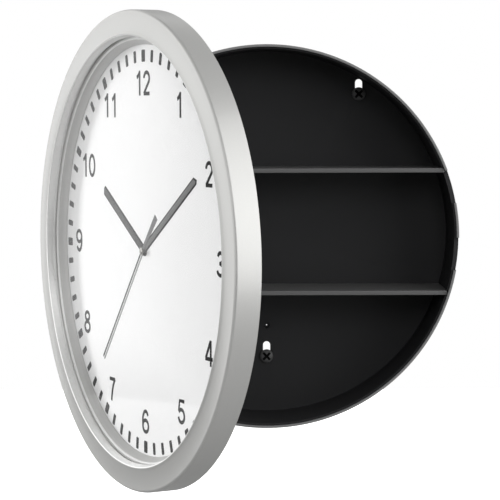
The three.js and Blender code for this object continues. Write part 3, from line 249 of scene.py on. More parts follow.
case_black = grained_black("spark_textured_black_abs", "#29292a", 0.5, 0.06, 0.7, 0.05, 0.25)
# The shelves' grey is a painted highlight for the light on their rounded front edges
shelf_highlight_grey = grained_black("black_abs_painted_highlight_grey", "#5c5c5c", 0.35, 0.05, 0.5, 0.03, 0.5)
# The lip's paler grey is a painted highlight for the light on the rim's rounded lip
rim_highlight_grey = grained_black("black_abs_painted_highlight_lip", "#767676", 0.35, 0.05, 0.5, 0.03, 0.5)
cover_black = grained_black("coarse_textured_black_abs", "#19191a", 0.6, 0.08, 0.9, 0.08, 0.4)
movement_black = grained_black("fine_black_abs", "#141415", 0.42, 0.05, 0.3, 0.02, 0.5)
screw_black = grained_black("black_oxide_on_steel", "#4a4a4a", 0.5, 0.06, 0.4, 0.02, 0.5)
# The deepest black is painted shade in the screws' cross recess
recess_shade_black = grained_black("recess_painted_shade_black", "#060606", 0.8, 0.06, 0.4, 0.02, 0.1)
print("blacks made, the last one is", recess_shade_black.name)

# %% [markdown]
# ### Silver paint
# The ring is moulded plastic sprayed with a silver lacquer. Its flakes lie flat, so it's
# part mirror and part grey paint: the flat face looks an even light grey, and the round side
# runs from bright to dark as it turns away. Real flakes are too fine to show, so the mottle
# is drawn at 0.6 mm, and a slower wave gives the slight orange peel of sprayed paint. The
# bead, the slope of the opening and the inner ring's front edge take a near-white, glossier
# lacquer, a painted highlight that makes the light lines. The inner ring's wall has a thin,
# grey coat.

# %% Silver paint
silver_paint, tree, shader, place = start_finish("sprayed_silver_lacquer", {
    "Metallic": 0.5, "IOR": 1.5, "Coat Weight": 0.4, "Coat Roughness": 0.12,
})
flakes = add_node(tree, "TexNoise", {"Scale": grain(0.6), "Detail": 4}, {"Vector": place})
peel = add_node(tree, "TexNoise", {"Scale": grain(2.5), "Detail": 1}, {"Vector": place})
follow_pattern(
    tree, shader, flakes.outputs["Fac"], (0.34, 0.44), ("#b4b4b2", "#bfbfbd"), core=NOISE_CORE,
)
bump = add_node(tree, "Bump", {
    "Strength": 0.25, "Distance": 0.02 * MM,
}, {"Height": peel.outputs["Fac"]})
tree.links.new(bump.outputs[0], shader.inputs["Normal"])

# A near-white, glossier lacquer that paints the highlights of the light lines at the opening
highlight_lacquer = mottled("painted_highlight_lacquer", {
    "Metallic": 0.65, "IOR": 1.5, "Coat Weight": 0.6, "Coat Roughness": 0.1,
}, 1.5, 2, (0.25, 0.35), ("#f0f0ee", "#fbfbfa"))
well_lacquer = mottled("thin_grey_lacquer", {
    "Metallic": 0.4, "IOR": 1.5, "Coat Weight": 0.2, "Coat Roughness": 0.3,
}, 0.6, 3, (0.45, 0.55), ("#b6b6b4", "#c0c0be"))
print("paint:", silver_paint.name, highlight_lacquer.name, well_lacquer.name)

# %% [markdown]
# ### Clear lens
# The lens is a flat disc cut from clear acrylic sheet, 1.5 mm thick. Through so thin a plate
# nothing shifts, so a see-through shader with a share of gloss is cleaner than solid glass,
# and it lets the lamps reach the dial. Acrylic mirrors about 4 % head on and much more at a
# grazing angle, which Fresnel gives. The index is turned over for the back face, so that a ray
# can leave the plate. A trace of haze keeps the lens from vanishing.

# %% Clear acrylic
ACRYLIC_INDEX = 1.49
CLEAN_SHARE = 0.45  # of the mirrored light, as a studio's polarising filter leaves it
clear_acrylic, tree = empty_finish("cut_clear_acrylic")
place = add_node(tree, "TexCoord").outputs["Object"]
haze = add_node(tree, "TexNoise", {"Scale": grain(8), "Detail": 2}, {"Vector": place})
gloss_roughness = add_node(tree, "MapRange", {
    "To Min": 0.03, "To Max": 0.07,
}, {"Value": haze.outputs["Fac"]})
side = add_node(tree, "NewGeometry")
index = add_node(tree, "MapRange", {
    "To Min": ACRYLIC_INDEX, "To Max": 1 / ACRYLIC_INDEX,
}, {"Value": side.outputs["Backfacing"]})
fresnel = add_node(tree, "Fresnel", links={"IOR": index.outputs[0]})
mirror_share = add_node(tree, "Math", {1: CLEAN_SHARE}, {0: fresnel.outputs[0]}, operation="MULTIPLY")
see_through = add_node(tree, "BsdfTransparent", {"Color": to_linear("#fdfdfd")})
sheen = add_node(tree, "BsdfAnisotropic", {
    "Color": to_linear("#ffffff"),
}, {"Roughness": gloss_roughness.outputs[0]})
lens_surface = add_node(tree, "MixShader", links={
    0: mirror_share.outputs[0], 1: see_through.outputs[0], 2: sheen.outputs[0],
})
add_node(tree, "OutputMaterial", links={"Surface": lens_surface.outputs[0]})
print("lens:", clear_acrylic.name)

# %% [markdown]
# ### Dial card and ink
# The dial is a white coated card, printed with black ink. Coated card is matt with a barely
# visible cloudiness, about 3 mm across. The ink lies on top of it, deep and nearly matt, and
# only the lens in front of it makes it look grey at the left.

# %% Card and ink
dial_card = mottled("coated_white_card", {
    "IOR": 1.45, "Specular IOR Level": 0.3,
}, 3, 3, (0.62, 0.72), ("#efefef", "#f5f5f5"))
dial_ink = mottled("screen_printed_black_ink", {
    "IOR": 1.5, "Specular IOR Level": 0.12,
}, 0.8, 2, (0.4, 0.5), ("#070707", "#111111"))
print("dial:", dial_card.name, dial_ink.name)

# %% [markdown]
# ### Metals
# The hands are stamped aluminium sheet. The hour and minute hands are sprayed grey, and their
# bevelled edges are coloured near black as painted shade. The second hand's needle has a
# bright middle as a painted highlight and a grey edge as its painted shadow. The cap is
# polished nickel, and the pins and small screws are zinc plated steel. All of them have fine
# marks from rolling or turning: a noise that is stretched along them. Paint hides a metal's
# mirror, so the sprayed ones are made as paint.

# %% Metals
def metal(name, colour, roughness, spread, mark_length, mark_width, metallic=1):
    """A metal with fine marks. Their length and width are in mm."""
    finish, tree, shader, place = start_finish(name, {
        "Base Color": to_linear(colour), "Metallic": metallic,
    })
    stretch = add_node(tree, "Mapping", {
        "Scale": (grain(mark_width), grain(mark_width), grain(mark_length)),
    }, {"Vector": place})
    marks = add_node(tree, "TexNoise", {"Scale": 1, "Detail": 3}, {"Vector": stretch.outputs[0]})
    follow_pattern(
        tree, shader, marks.outputs["Fac"], (roughness - spread, roughness + spread),
        core=NOISE_CORE, relief=(0.3, 0.01),
    )
    return finish


hour_grey = metal("grey_sprayed_aluminium", "#494949", 0.6, 0.05, 6, 0.5, metallic=0)
minute_grey = metal("pale_grey_sprayed_aluminium", "#707070", 0.6, 0.05, 6, 0.5, metallic=0)
# Near black for the bevels and one edge of the needle: painted shade
hand_edge = metal("painted_shade_aluminium_edge", "#1a1a1a", 0.7, 0.05, 6, 0.5, metallic=0)
# Grey for the needle's other edge: its painted shadow
hand_shade = metal("painted_shadow_grey_aluminium", "#8c8c8c", 0.6, 0.05, 6, 0.5, metallic=0)
# Bright for the needle's middle: a painted highlight
hand_bright = metal("painted_highlight_aluminium", "#e2e2e2", 0.45, 0.06, 8, 0.2, metallic=0.5)
cap_nickel = metal("polished_nickel", "#a9a8a4", 0.16, 0.03, 1, 1)
zinc_steel = metal("zinc_plated_steel", "#c6c6c2", 0.3, 0.08, 0.5, 0.5)
sheet_iron = metal("silicon_iron_sheet", "#9a9a96", 0.4, 0.08, 4, 0.3)
turned_brass = metal("turned_brass", "#c9a24a", 0.3, 0.06, 0.3, 3)
magnet_grey = metal("sintered_ferrite", "#3d3c3b", 0.6, 0.08, 0.4, 0.4, metallic=0.3)
print("metals made, the last one is", magnet_grey.name)

# %% [markdown]
# ### Milky plastic, wire, board and battery film
# The wheels are moulded in acetal, which lets a little light in and looks milky. The coil is
# wound in enamelled copper, one turn beside the next, so a band pattern lies across it. The
# board is green under its varnish, and the battery is wrapped in a printed film.

# %% Other finishes of the movement
WIRE_WAVE = 0.25  # the bands repeat every 1.6 mm, which is 2 pi times this
WAVE_FACTOR = 20  # by which a wave texture multiplies its scale
milky_acetal = mottled("moulded_milky_acetal", {
    "Base Color": to_linear("#e4e2da"), "IOR": 1.48, "Subsurface Weight": 0.2,
    "Subsurface Radius": (0.6 * MM, 0.6 * MM, 0.5 * MM),
}, 2, 2, (0.38, 0.5))
battery_film = mottled("printed_metal_film", {
    "Metallic": 0.5, "Coat Weight": 0.5, "Coat Roughness": 0.1,
}, 6, 2, (0.28, 0.4), ("#2b589d", "#3466b2"))

copper_wire, tree, shader, place = start_finish("enamelled_copper_wire", {
    "Base Color": to_linear("#b5632f"), "Metallic": 1, "Coat Weight": 0.6,
})
turns = add_node(tree, "TexWave", {
    "Scale": grain(WIRE_WAVE) / WAVE_FACTOR, "Distortion": 0.3,
}, {"Vector": place}, bands_direction="Z")
follow_pattern(tree, shader, turns.outputs["Fac"], (0.25, 0.45), relief=(0.8, 0.05))

green_board, tree, shader, place = start_finish("varnished_circuit_board", {
    "IOR": 1.55, "Coat Weight": 0.5, "Coat Roughness": 0.2,
})
tracks = add_node(tree, "TexVoronoi", {"Scale": grain(1.6)}, {"Vector": place}, distance="MANHATTAN")
follow_pattern(tree, shader, tracks.outputs["Distance"], (0.35, 0.5), ("#245a33", "#357a48"))
print("finishes in all:", len(bpy.data.materials))

# %% [markdown]
# ## Building shapes
# Nearly every piece is either turned or cut from sheet. So a piece is put together from a few
# kinds of shape, each a list of points in millimetres and a list of faces: a profile turned
# about the door's depth, outlines stacked on each other, and a flat strip that follows a line.
# A profile or a stack can give some of its bands a second finish.

# %% Shapes
FINE_STEPS = 256  # round the ring, the case and the dial
SMALL_STEPS = 48  # round screws, pins and hubs
PILLAR_EDGE = 0.2
SMOOTH_ANGLE = 32
SOFT_ANGLE = 35


class Shape:
    """Points in mm and faces of one piece, put together shape by shape."""

    def __init__(self):
        self.points, self.faces, self.finishes = [], [], []

    def add(self, points, faces, finish=0):
        start = len(self.points)
        self.points += [Vector(point) for point in points]
        self.faces += [[start + i for i in face] for face in faces]
        self.finishes += [finish] * len(faces)
        return self

    def turned(self, profile, steps=FINE_STEPS, centre=(0, 0), lands=()):
        """A profile of (radius, depth) turned about the depth. It closes on itself.

        Lands are points of the profile: the bands that start there have the second finish.
        """
        points, rows = [], []
        for radius, depth in profile:
            count = 1 if radius == 0 else steps
            rows.append(range(len(points), len(points) + count))
            for k in range(count):
                angle = 2 * math.pi * k / steps
                points.append((
                    centre[0] + radius * math.cos(angle), depth, centre[1] + radius * math.sin(angle),
                ))
        faces, finishes = [], []
        for i, row in enumerate(rows):
            following = rows[(i + 1) % len(rows)]
            if len(row) == 1 and len(following) == 1:
                continue
            for k in range(steps):
                corners = [
                    row[k % len(row)], row[(k + 1) % len(row)],
                    following[(k + 1) % len(following)], following[k % len(following)],
                ]
                faces.append(list(dict.fromkeys(corners)))
                finishes.append(int(profile[i] in lands))
        self.add(points, faces)
        self.finishes[-len(faces):] = finishes
        return self

    def plate(self, layers, finish=0, upright=False, bevel_finish=None):
        """Outlines of (x, z), each at its depth, as one solid. Upright: of (x, depth) at heights.

        The bevel's finish is that of the sides between the last two outlines.
        """
        points = [
            (a, b, level) if upright else (a, level, b) for level, outline in layers for a, b in outline
        ]
        count = len(layers[0][1])
        faces = [list(range(count)), list(range(len(points) - count, len(points)))]
        for layer in range(len(layers) - 1):
            first = layer * count
            for k in range(count):
                following = (k + 1) % count
                faces.append([
                    first + k, first + following, first + count + following, first + count + k,
                ])
        self.add(points, faces, finish)
        if bevel_finish is not None:
            self.finishes[-count:] = [bevel_finish] * count
        return self

    def pillar(self, centre, radius, low, high):
        """An upright round bar with a small chamfer at both ends."""
        end = arc(centre, radius - PILLAR_EDGE, radius - PILLAR_EDGE, 0, 360, SMALL_STEPS)[:-1]
        middle = arc(centre, radius, radius, 0, 360, SMALL_STEPS)[:-1]
        return self.plate([
            (low, end), (low + PILLAR_EDGE, middle), (high - PILLAR_EDGE, middle), (high, end),
        ], upright=True)

    def block(self, low, high):
        outline = [(low[0], low[2]), (high[0], low[2]), (high[0], high[2]), (low[0], high[2])]
        return self.plate([(low[1], outline), (high[1], outline)])

    def ribbon(self, line, widths, front, back, closed=False, finish=0):
        """A flat strip of the given widths along a line of (x, z)."""
        points, faces = [], []
        count = len(line)
        for k, (x, z) in enumerate(line):
            before = line[k - 1] if closed or k > 0 else line[0]
            after = line[(k + 1) % count] if closed or k < count - 1 else line[-1]
            along = Vector((after[0] - before[0], after[1] - before[1])).normalized()
            across = Vector((-along.y, along.x)) * widths[k] / 2
            for side in (1, -1):
                for depth in (front, back):
                    points.append((x + side * across.x, depth, z + side * across.y))
        sides = [(0, 1), (1, 3), (3, 2), (2, 0)]
        for k in range(count if closed else count - 1):
            here, there = 4 * k, 4 * ((k + 1) % count)
            faces += [[here + a, here + b, there + b, there + a] for a, b in sides]
        if not closed:
            last = 4 * (count - 1)
            faces += [[0, 1, 3, 2], [last, last + 1, last + 3, last + 2]]
        return self.add(points, faces, finish)


def solid_mesh(name, shape, finishes):
    """A shape as a mesh in its finishes, with every face turned outwards."""
    mesh = bpy.data.meshes.new(name)
    mesh.from_pydata([point * MM for point in shape.points], [], shape.faces)
    for finish in finishes:
        mesh.materials.append(finish)
    mesh.polygons.foreach_set("material_index", shape.finishes)
    build = bmesh.new()
    build.from_mesh(mesh)
    bmesh.ops.recalc_face_normals(build, faces=build.faces)
    build.to_mesh(mesh)
    build.free()
    return mesh


def make_piece(name, shape, finishes, body, replaces=(), place=Matrix.Identity(4)):
    """A shape as an object that rides on a body and stands for the given solids."""
    piece = bpy.data.objects.new(name, solid_mesh(name, shape, finishes))
    bpy.context.collection.objects.link(piece)
    piece.matrix_world = place
    smooth(piece)
    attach(piece, body)
    if replaces:
        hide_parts(*replaces)
    return piece


def smooth(piece):
    """Smooth shading that keeps every edge sharper than a few degrees crisp."""
    piece.data.polygons.foreach_set("use_smooth", [True] * len(piece.data.polygons))
    piece.data.set_sharp_from_angle(angle=math.radians(SMOOTH_ANGLE))


def cut_out(piece, tools):
    """Cuts closed shapes out of a piece. The walls of a cut take the finish of its tool."""
    for tool in tools:
        cutter = bpy.data.objects.new("tool", solid_mesh("tool", tool, piece.data.materials))
        bpy.context.collection.objects.link(cutter)
        cutter.matrix_world = piece.matrix_world
        change = piece.modifiers.new("cut", "BOOLEAN")
        change.operation = "DIFFERENCE"
        change.solver = "EXACT"
        change.object = cutter
        bpy.context.view_layer.update()
        result = bpy.data.meshes.new_from_object(
            piece.evaluated_get(bpy.context.evaluated_depsgraph_get())
        )
        piece.modifiers.clear()
        piece.data = result
        bpy.data.objects.remove(cutter)
    smooth(piece)


def soften(piece, width, segments=2):
    """Rounds every edge by a little, as a mould or a stamping tool does."""
    edge = piece.modifiers.new("soft edges", "BEVEL")
    edge.width = width * MM
    edge.segments = segments
    edge.limit_method = "ANGLE"
    edge.angle_limit = math.radians(SOFT_ANGLE)
    edge.harden_normals = True


def arc(centre, radius_x, radius_z, start, end, steps=24):
    """Points (x, z) on an ellipse between two angles."""
    turns = [math.radians(start + (end - start) * k / steps) for k in range(steps + 1)]
    return [
        (centre[0] + radius_x * math.cos(turn), centre[1] + radius_z * math.sin(turn))
        for turn in turns
    ]


def rounded(centre, radius, start, end, steps=6):
    """Points of a round between two angles."""
    return arc(centre, radius, radius, start, end, steps)


def dome(radius, top, rise, steps):
    """Half profile of a dome, from its top in the middle to its foot."""
    turns = [math.pi / 2 * k / steps for k in range(steps + 1)]
    return [(radius * math.sin(turn), top + rise * (1 - math.cos(turn))) for turn in turns]


print("shape tools ready")

# %% [markdown]
# ## The ring
# The ring is the clock's bezel: a moulding with a flat face, a small round at its outer
# corner, a side wall, and an inner rib that holds the lens, the dial ring and the dial. A low
# rounded bead goes round its opening and a slope leads from it down to the lens, and both
# catch the light, helped by a painted highlight in near-white lacquer. A profile turned once in
# fine steps gives the face and the walls.
# The knuckles of the hinge and the bosses of the screws are added to it, and the free space
# round the hinge is cut out.

# %% The ring
FACE_THICKNESS = 2.5
WALL_THICKNESS = 2.2
OUTER_ROUND = 1.5
BEAD_ROUND = 0.9
BEAD_RISE = 0.8
BEAD_FOOT = 1.6
EDGE_RELIEF = 0.8
LIP_DEPTH = 2.7
RIB_THICKNESS = 1.3
SEAT_GAP = 0.3
lens_low, lens_high = door_span("lens")
OPENING_RADIUS = CASE_RADIUS
RIB_BORE = lens_high.z + SEAT_GAP
rib_end = cover_low.y - SEAT_GAP
wall_bore = RING_RADIUS - WALL_THICKNESS

bead_middle = (OPENING_RADIUS + EDGE_RELIEF + BEAD_ROUND, BEAD_ROUND - BEAD_RISE)
bead = rounded(bead_middle, BEAD_ROUND, -60, -180, steps=8)
ring_profile = [
    (RING_RADIUS, DOOR_DEPTH),
    *rounded((RING_RADIUS - OUTER_ROUND, OUTER_ROUND), OUTER_ROUND, 0, -90, steps=8),
    (bead_middle[0] + BEAD_FOOT, 0),
    *bead,
    (OPENING_RADIUS, LIP_DEPTH),
    (RIB_BORE, LIP_DEPTH),
    (RIB_BORE, rib_end),
    (RIB_BORE + RIB_THICKNESS, rib_end),
    (RIB_BORE + RIB_THICKNESS, FACE_THICKNESS),
    (wall_bore, FACE_THICKNESS),
    (wall_bore, DOOR_DEPTH),
]
# The inner side of the bead, the slope below it and the seat of the lens are the light lines,
# painted as a highlight in the near-white lacquer
ring_lands = bead[3:] + [(RIB_BORE, LIP_DEPTH)]
ring = make_piece(
    "door_ring", Shape().turned(ring_profile, lands=ring_lands), [silver_paint, highlight_lacquer],
    "door", ["bezel_ring"], door_place,
)

KNUCKLE_RADIUS = 2.6
KNUCKLE_LOW, KNUCKLE_HIGH = 20.4, 26.9
WEB_START = 1.8
HINGE_OUT, HINGE_IN = 4.8, 8  # free space to both sides of the hinge's axis
HINGE_FRONT = 0.9  # and in front of its knuckles
OVERRUN = 2
hinge = door_frame @ Vector(joints["door_hinge"]["pos_m"]) / MM
cut_out(ring, [Shape().block(
    (hinge.x - HINGE_OUT, hinge.y - KNUCKLE_RADIUS - HINGE_FRONT, -KNUCKLE_LOW),
    (hinge.x + HINGE_IN, DOOR_DEPTH + OVERRUN, KNUCKLE_LOW),
)])
knuckle_shape = Shape()
for side in (1, -1):
    ends = sorted((side * KNUCKLE_LOW, side * KNUCKLE_HIGH))
    knuckle_shape.pillar((hinge.x, hinge.y), KNUCKLE_RADIUS, *ends)
    knuckle_shape.block(
        (hinge.x - KNUCKLE_RADIUS, WEB_START, ends[0]), (hinge.x + KNUCKLE_RADIUS, hinge.y, ends[1]),
    )

BOSSES = 6
BOSS_RADIUS = 2.8
FIRST_BOSS = 30
boss_circle = (RIB_BORE + RIB_THICKNESS + wall_bore) / 2
for turn in range(FIRST_BOSS, 360, 360 // BOSSES):
    angle = math.radians(turn)
    knuckle_shape.turned([
        (0, WEB_START), (BOSS_RADIUS, WEB_START), (BOSS_RADIUS, rib_end), (0, rib_end),
    ], SMALL_STEPS, (boss_circle * math.cos(angle), boss_circle * math.sin(angle)))
make_piece(
    "ring_knuckles_and_bosses", knuckle_shape, [silver_paint], "door",
    place=door_place,
)
print("ring:", len(ring.data.polygons), "faces,", BOSSES, "bosses")

# %% [markdown]
# ## Lens and inner ring
# The lens rests behind the lip. Behind it a tapered ring keeps the dial back and closes the
# side of the dial's well. Its small front edge is the second bright line, a painted highlight
# in the near-white lacquer.

# %% Lens and inner ring
INNER_FRONT = 111.4  # radius of the inner ring's opening at the lens
INNER_BACK = 109  # and at the dial
EDGE_ROUND = 0.9
LIGHT_EDGE = 1.8
LENS_EDGE = 0.2
inner_low, inner_high = door_span("dial_ring")
lens_radius = lens_high.z
make_piece("front_lens", Shape().turned([
    (0, lens_low.y),
    (lens_radius - LENS_EDGE, lens_low.y),
    (lens_radius, lens_low.y + LENS_EDGE),
    (lens_radius, lens_high.y - LENS_EDGE),
    (lens_radius - LENS_EDGE, lens_high.y),
    (0, lens_high.y),
]), [clear_acrylic], "door", ["lens"], door_place)
light_edge = (INNER_FRONT + LIGHT_EDGE, inner_low.y)
inner_edge = rounded((INNER_FRONT + EDGE_ROUND, inner_low.y + EDGE_ROUND), EDGE_ROUND, -90, -180)
inner_profile = [
    (lens_radius, inner_low.y),
    light_edge,
    *inner_edge,
    (INNER_BACK, inner_high.y),
    (lens_radius, inner_high.y),
]
# The inner ring's front edge is in the painted highlight lacquer
make_piece(
    "inner_ring", Shape().turned(inner_profile, lands=[light_edge] + inner_edge[:-1]),
    [well_lacquer, highlight_lacquer], "door", ["dial_ring"], door_place,
)
print("lens and inner ring made")

# %% [markdown]
# ## The dial
# A white card with sixty marks and twelve plain numerals. The print is built as very thin
# raised shapes on the card, because geometry stays crisp however near the camera comes.
# The numerals are thin, upright and sans serif. Each digit is drawn the way a pen would: as
# a few lines and arcs of one width, given as shares of the digit's height.

# %% Digits
DIGIT_HEIGHT = 13.1
STROKE_SHARE = 0.15
ADVANCE_SHARE = 0.775
LOW_SHARE, TOP_SHARE = STROKE_SHARE / 2, 1 - STROKE_SHARE / 2


def quadratic(start, pull, end, steps=16):
    """Points of a curve from start to end, pulled towards a third point."""
    points = []
    for k in range(steps + 1):
        t = k / steps
        points.append(tuple(
            (1 - t) ** 2 * a + 2 * t * (1 - t) * b + t ** 2 * c for a, b, c in zip(start, pull, end)
        ))
    return points


six_shares = [
    (False, arc((0.34, 0.5), 0.285, TOP_SHARE - 0.5, 38, 205)),
    (True, arc((0.335, 0.315), 0.27, 0.315 - LOW_SHARE, 0, 360, 40)[:-1]),
]
digit_shares = {
    "0": [(True, arc((0.33, 0.5), 0.275, 0.5 - LOW_SHARE, 0, 360, 48)[:-1])],
    "1": [
        (False, [(0.42, 0), (0.42, 1)]),
        (False, quadratic((0.42, 0.96), (0.33, 0.8), (0.14, 0.73))),
    ],
    "2": [
        (False, arc((0.33, 0.685), 0.255, TOP_SHARE - 0.685, 178, -32)
         + [(0.09, 0.1), (0.07, LOW_SHARE)]),
        (False, [(0.035, LOW_SHARE), (0.61, LOW_SHARE)]),
    ],
    "3": [
        (False, arc((0.31, 0.735), 0.215, TOP_SHARE - 0.735, 168, -85)),
        (False, arc((0.31, 0.285), 0.27, 0.285 - LOW_SHARE, 85, -170)),
        (False, [(0.22, 0.52), (0.33, 0.52)]),
    ],
    "4": [
        (False, [(0.47, 0), (0.47, 1)]),
        (False, [(0.45, 0.965), (0.045, 0.3)]),
        (False, [(0, 0.28), (0.64, 0.28)]),
    ],
    "5": [
        (False, [(0.59, TOP_SHARE), (0.165, TOP_SHARE), (0.085, 0.5)]),
        (False, arc((0.32, 0.33), 0.27, 0.33 - LOW_SHARE, 148, -168)),
    ],
    "6": six_shares,
    "7": [
        (False, [(0.04, TOP_SHARE), (0.6, TOP_SHARE)]),
        (False, quadratic((0.595, 0.94), (0.3, 0.6), (0.235, 0))),
    ],
    "8": [
        (True, arc((0.33, 0.745), 0.22, TOP_SHARE - 0.745, 0, 360, 36)[:-1]),
        (True, arc((0.33, 0.29), 0.27, 0.29 - LOW_SHARE, 0, 360, 40)[:-1]),
    ],
    "9": [(closed, [(0.66 - x, 1 - z) for x, z in line]) for closed, line in six_shares],
}
print("digits drawn:", len(digit_shares))

# %% Card, marks and numerals
PRINT_THICKNESS = 0.06
PRINT_MIDDLE = (-0.3, -0.95)
MARK_INNER = 100.8
MARK_OUTER = 107.2
MARK_CORNER = 0.8
CORNER_STEPS = 4
HOUR_MARK = 4.4
MINUTE_MARK = 3.1
MARKS = 60
MARKS_PER_HOUR = 5
BUSH_HOLE = 2.95
card_front, card_back = (corner.y for corner in door_span("dial"))
print_front = card_front - PRINT_THICKNESS

# Middle of each numeral, in mm right of and above the middle of the dial
numeral_places = {
    "12": (-0.7, 88.7), "1": (43.4, 77.0), "2": (78.1, 42.8), "3": (90.5, -1.0),
    "4": (77.2, -46.3), "5": (44.6, -80.0), "6": (-0.3, -91.3), "7": (-44.8, -79.3),
    "8": (-80.0, -45.2), "9": (-91.1, 0.4), "10": (-75.8, 43.6), "11": (-45.4, 77.1),
}
dial_shape = Shape().turned([
    (BUSH_HOLE, card_front),
    (lens_radius, card_front),
    (lens_radius, card_back),
    (BUSH_HOLE, card_back),
])
for mark in range(MARKS):
    direction = math.radians(90 - 360 * mark / MARKS)
    width = HOUR_MARK if mark % MARKS_PER_HOUR == 0 else MINUTE_MARK
    corner = []
    for k in range(CORNER_STEPS + 1):
        swing = math.pi / 2 * k / CORNER_STEPS
        corner.append((
            MARK_CORNER * (1 - math.cos(swing)), width / 2 - MARK_CORNER * (1 - math.sin(swing)),
        ))
    length = MARK_OUTER - MARK_INNER
    profile = corner + [(length - run, half) for run, half in reversed(corner)]
    line = [
        (PRINT_MIDDLE[0] + (MARK_INNER + run) * math.cos(direction),
         PRINT_MIDDLE[1] + (MARK_INNER + run) * math.sin(direction))
        for run, half in profile
    ]
    dial_shape.ribbon(line, [2 * half for run, half in profile], print_front, card_front, finish=1)

stroke = STROKE_SHARE * DIGIT_HEIGHT
for numeral, (middle_x, middle_z) in numeral_places.items():
    lines = []
    for order, digit in enumerate(numeral):
        for closed, shares in digit_shares[digit]:
            lines.append((closed, [
                ((x + order * ADVANCE_SHARE) * DIGIT_HEIGHT, z * DIGIT_HEIGHT) for x, z in shares
            ]))
    across = [x for closed, line in lines for x, z in line]
    shift = middle_x - (min(across) + max(across)) / 2
    for closed, line in lines:
        placed = [(x + shift, z + middle_z - DIGIT_HEIGHT / 2) for x, z in line]
        dial_shape.ribbon(placed, [stroke] * len(placed), print_front, card_front, closed, 1)
dial = make_piece(
    "printed_dial", dial_shape, [dial_card, dial_ink], "door", ["dial"], door_place,
)
print("dial:", len(dial.data.polygons), "faces,", MARKS, "marks,", len(numeral_places), "numerals")

# %% [markdown]
# ## The hands
# The hour and minute hands are flat bars stamped from sheet, with a pressed bevel along each
# edge, coloured near black as painted shade so it reads as a darker line, and a cut tip. Each
# hub is hardly wider than its bar. The second hand is a thin needle with a broader tail. Its
# needle is drawn as three strips: one edge near black as painted shade, a bright middle as a
# painted highlight and a grey edge as its painted shadow, so it reads as a light line beside a
# dark one. Each hand is drawn pointing at 12 and then turned clockwise to its place. The hands
# throw no shadow, because in so soft a studio none can be seen on the dial.

# %% Hands
HOUR_WIDTH, MINUTE_WIDTH = 5.1, 4.7
HOUR_HUB, MINUTE_HUB = 2.7, 2.45
HOUR_LENGTH, MINUTE_LENGTH, SECOND_LENGTH = 62, 77, 81.3
HOUR_TURN, MINUTE_TURN, SECOND_TURN = 300.1, 58.6, 220.5  # clockwise from 12, in degrees
HAND_BEVEL = 0.9
BEVEL_DROP = 0.2
SHARPEST_MITRE = 0.5  # keeps the corners of a tip from shooting inwards
hour_tip_shares = [(-0.5, 0.975), (0.1, 1), (0.5, 0.985)]
minute_tip_shares = [(-0.5, 0.965), (0.15, 1), (0.5, 0.98)]


def inset(outline, distance):
    """An outline moved inwards by a distance at every edge."""
    count = len(outline)
    area = sum(
        outline[k][0] * outline[(k + 1) % count][1] - outline[(k + 1) % count][0] * outline[k][1]
        for k in range(count)
    )
    side = 1 if area > 0 else -1
    moved = []
    for k in range(count):
        before = (Vector(outline[k]) - Vector(outline[k - 1])).normalized()
        after = (Vector(outline[(k + 1) % count]) - Vector(outline[k])).normalized()
        normal = (Vector((-before.y, before.x)) + Vector((-after.y, after.x))) * side
        normal = normal / max(normal.length_squared / 2, SHARPEST_MITRE)
        moved.append(tuple(Vector(outline[k]) + normal * distance))
    return moved


def bar_outline(length, width, hub, tip_shares):
    """A bar from a round hub to its tip, pointing at 12."""
    turn = math.degrees(math.asin(width / 2 / hub))
    around = rounded((0, 0), hub, 90 + turn, 450 - turn, steps=32)
    tip = [(across * width, along * length) for across, along in tip_shares]
    return around + tip[::-1]


def make_hand(name, shape, finishes, body, node, turn):
    """A hand turned to its place on the dial, without a shadow."""
    place = door_place @ Matrix.Rotation(math.radians(turn), 4, "Y")
    hand = make_piece(name, shape, finishes, body, [node], place)
    hand.visible_shadow = False
    hand.visible_diffuse = False
    print(name, "points at", turn, "degrees")


hour_outline = bar_outline(HOUR_LENGTH, HOUR_WIDTH, HOUR_HUB, hour_tip_shares)
minute_outline = bar_outline(MINUTE_LENGTH, MINUTE_WIDTH, MINUTE_HUB, minute_tip_shares)
# Each bar's bevel takes the near-black finish, as painted shade
for name, node, outline, turn, body, grey in (
    ("hour_bar", "hour_hand", hour_outline, HOUR_TURN, "hour_train", hour_grey),
    ("minute_bar", "minute_hand", minute_outline, MINUTE_TURN, "minute_train", minute_grey),
):
    low, high = door_span(node)
    shape = Shape().plate([
        (high.y, outline), (low.y + BEVEL_DROP, outline), (low.y, inset(outline, HAND_BEVEL)),
    ], bevel_finish=1)
    make_hand(name, shape, [grey, hand_edge], body, node, turn)

# %% Second hand and cap
NEEDLE_SIDES = (-2.1, 0.7)  # left and right of the hands' axis
NEEDLE_DARK = 1.3
NEEDLE_EDGE = 0.8
NEEDLE_HUB = 1.9
TAIL_SIDES = (-3.8, 0.1)
TAIL_LENGTH = 26.2
CAP_DOME_SHARE = 0.75
low, high = door_span("second_hand")
left, right = NEEDLE_SIDES
tail = [(TAIL_SIDES[0], -TAIL_LENGTH), (TAIL_SIDES[1], -TAIL_LENGTH), (right, 0), (left / 2, 0)]
hub = rounded((0, 0), NEEDLE_HUB, 0, 360, steps=24)[:-1]
strips = [(tail, 0), (hub, 0)]
# The needle's strips: grey as its painted shadow, bright as a painted highlight, near black as painted
# shade
for start, end, finish in (
    (left, left + NEEDLE_EDGE, 2),
    (left + NEEDLE_EDGE, right - NEEDLE_DARK, 1),
    (right - NEEDLE_DARK, right, 3),
):
    strips.append(([(start, 0), (end, 0), (end, SECOND_LENGTH), (start, SECOND_LENGTH)], finish))
needle_shape = Shape()
for outline, finish in strips:
    needle_shape.plate([(high.y, outline), (low.y, outline)], finish)
make_hand(
    "second_needle", needle_shape, [minute_grey, hand_bright, hand_shade, hand_edge],
    "second_train", "second_hand", SECOND_TURN,
)

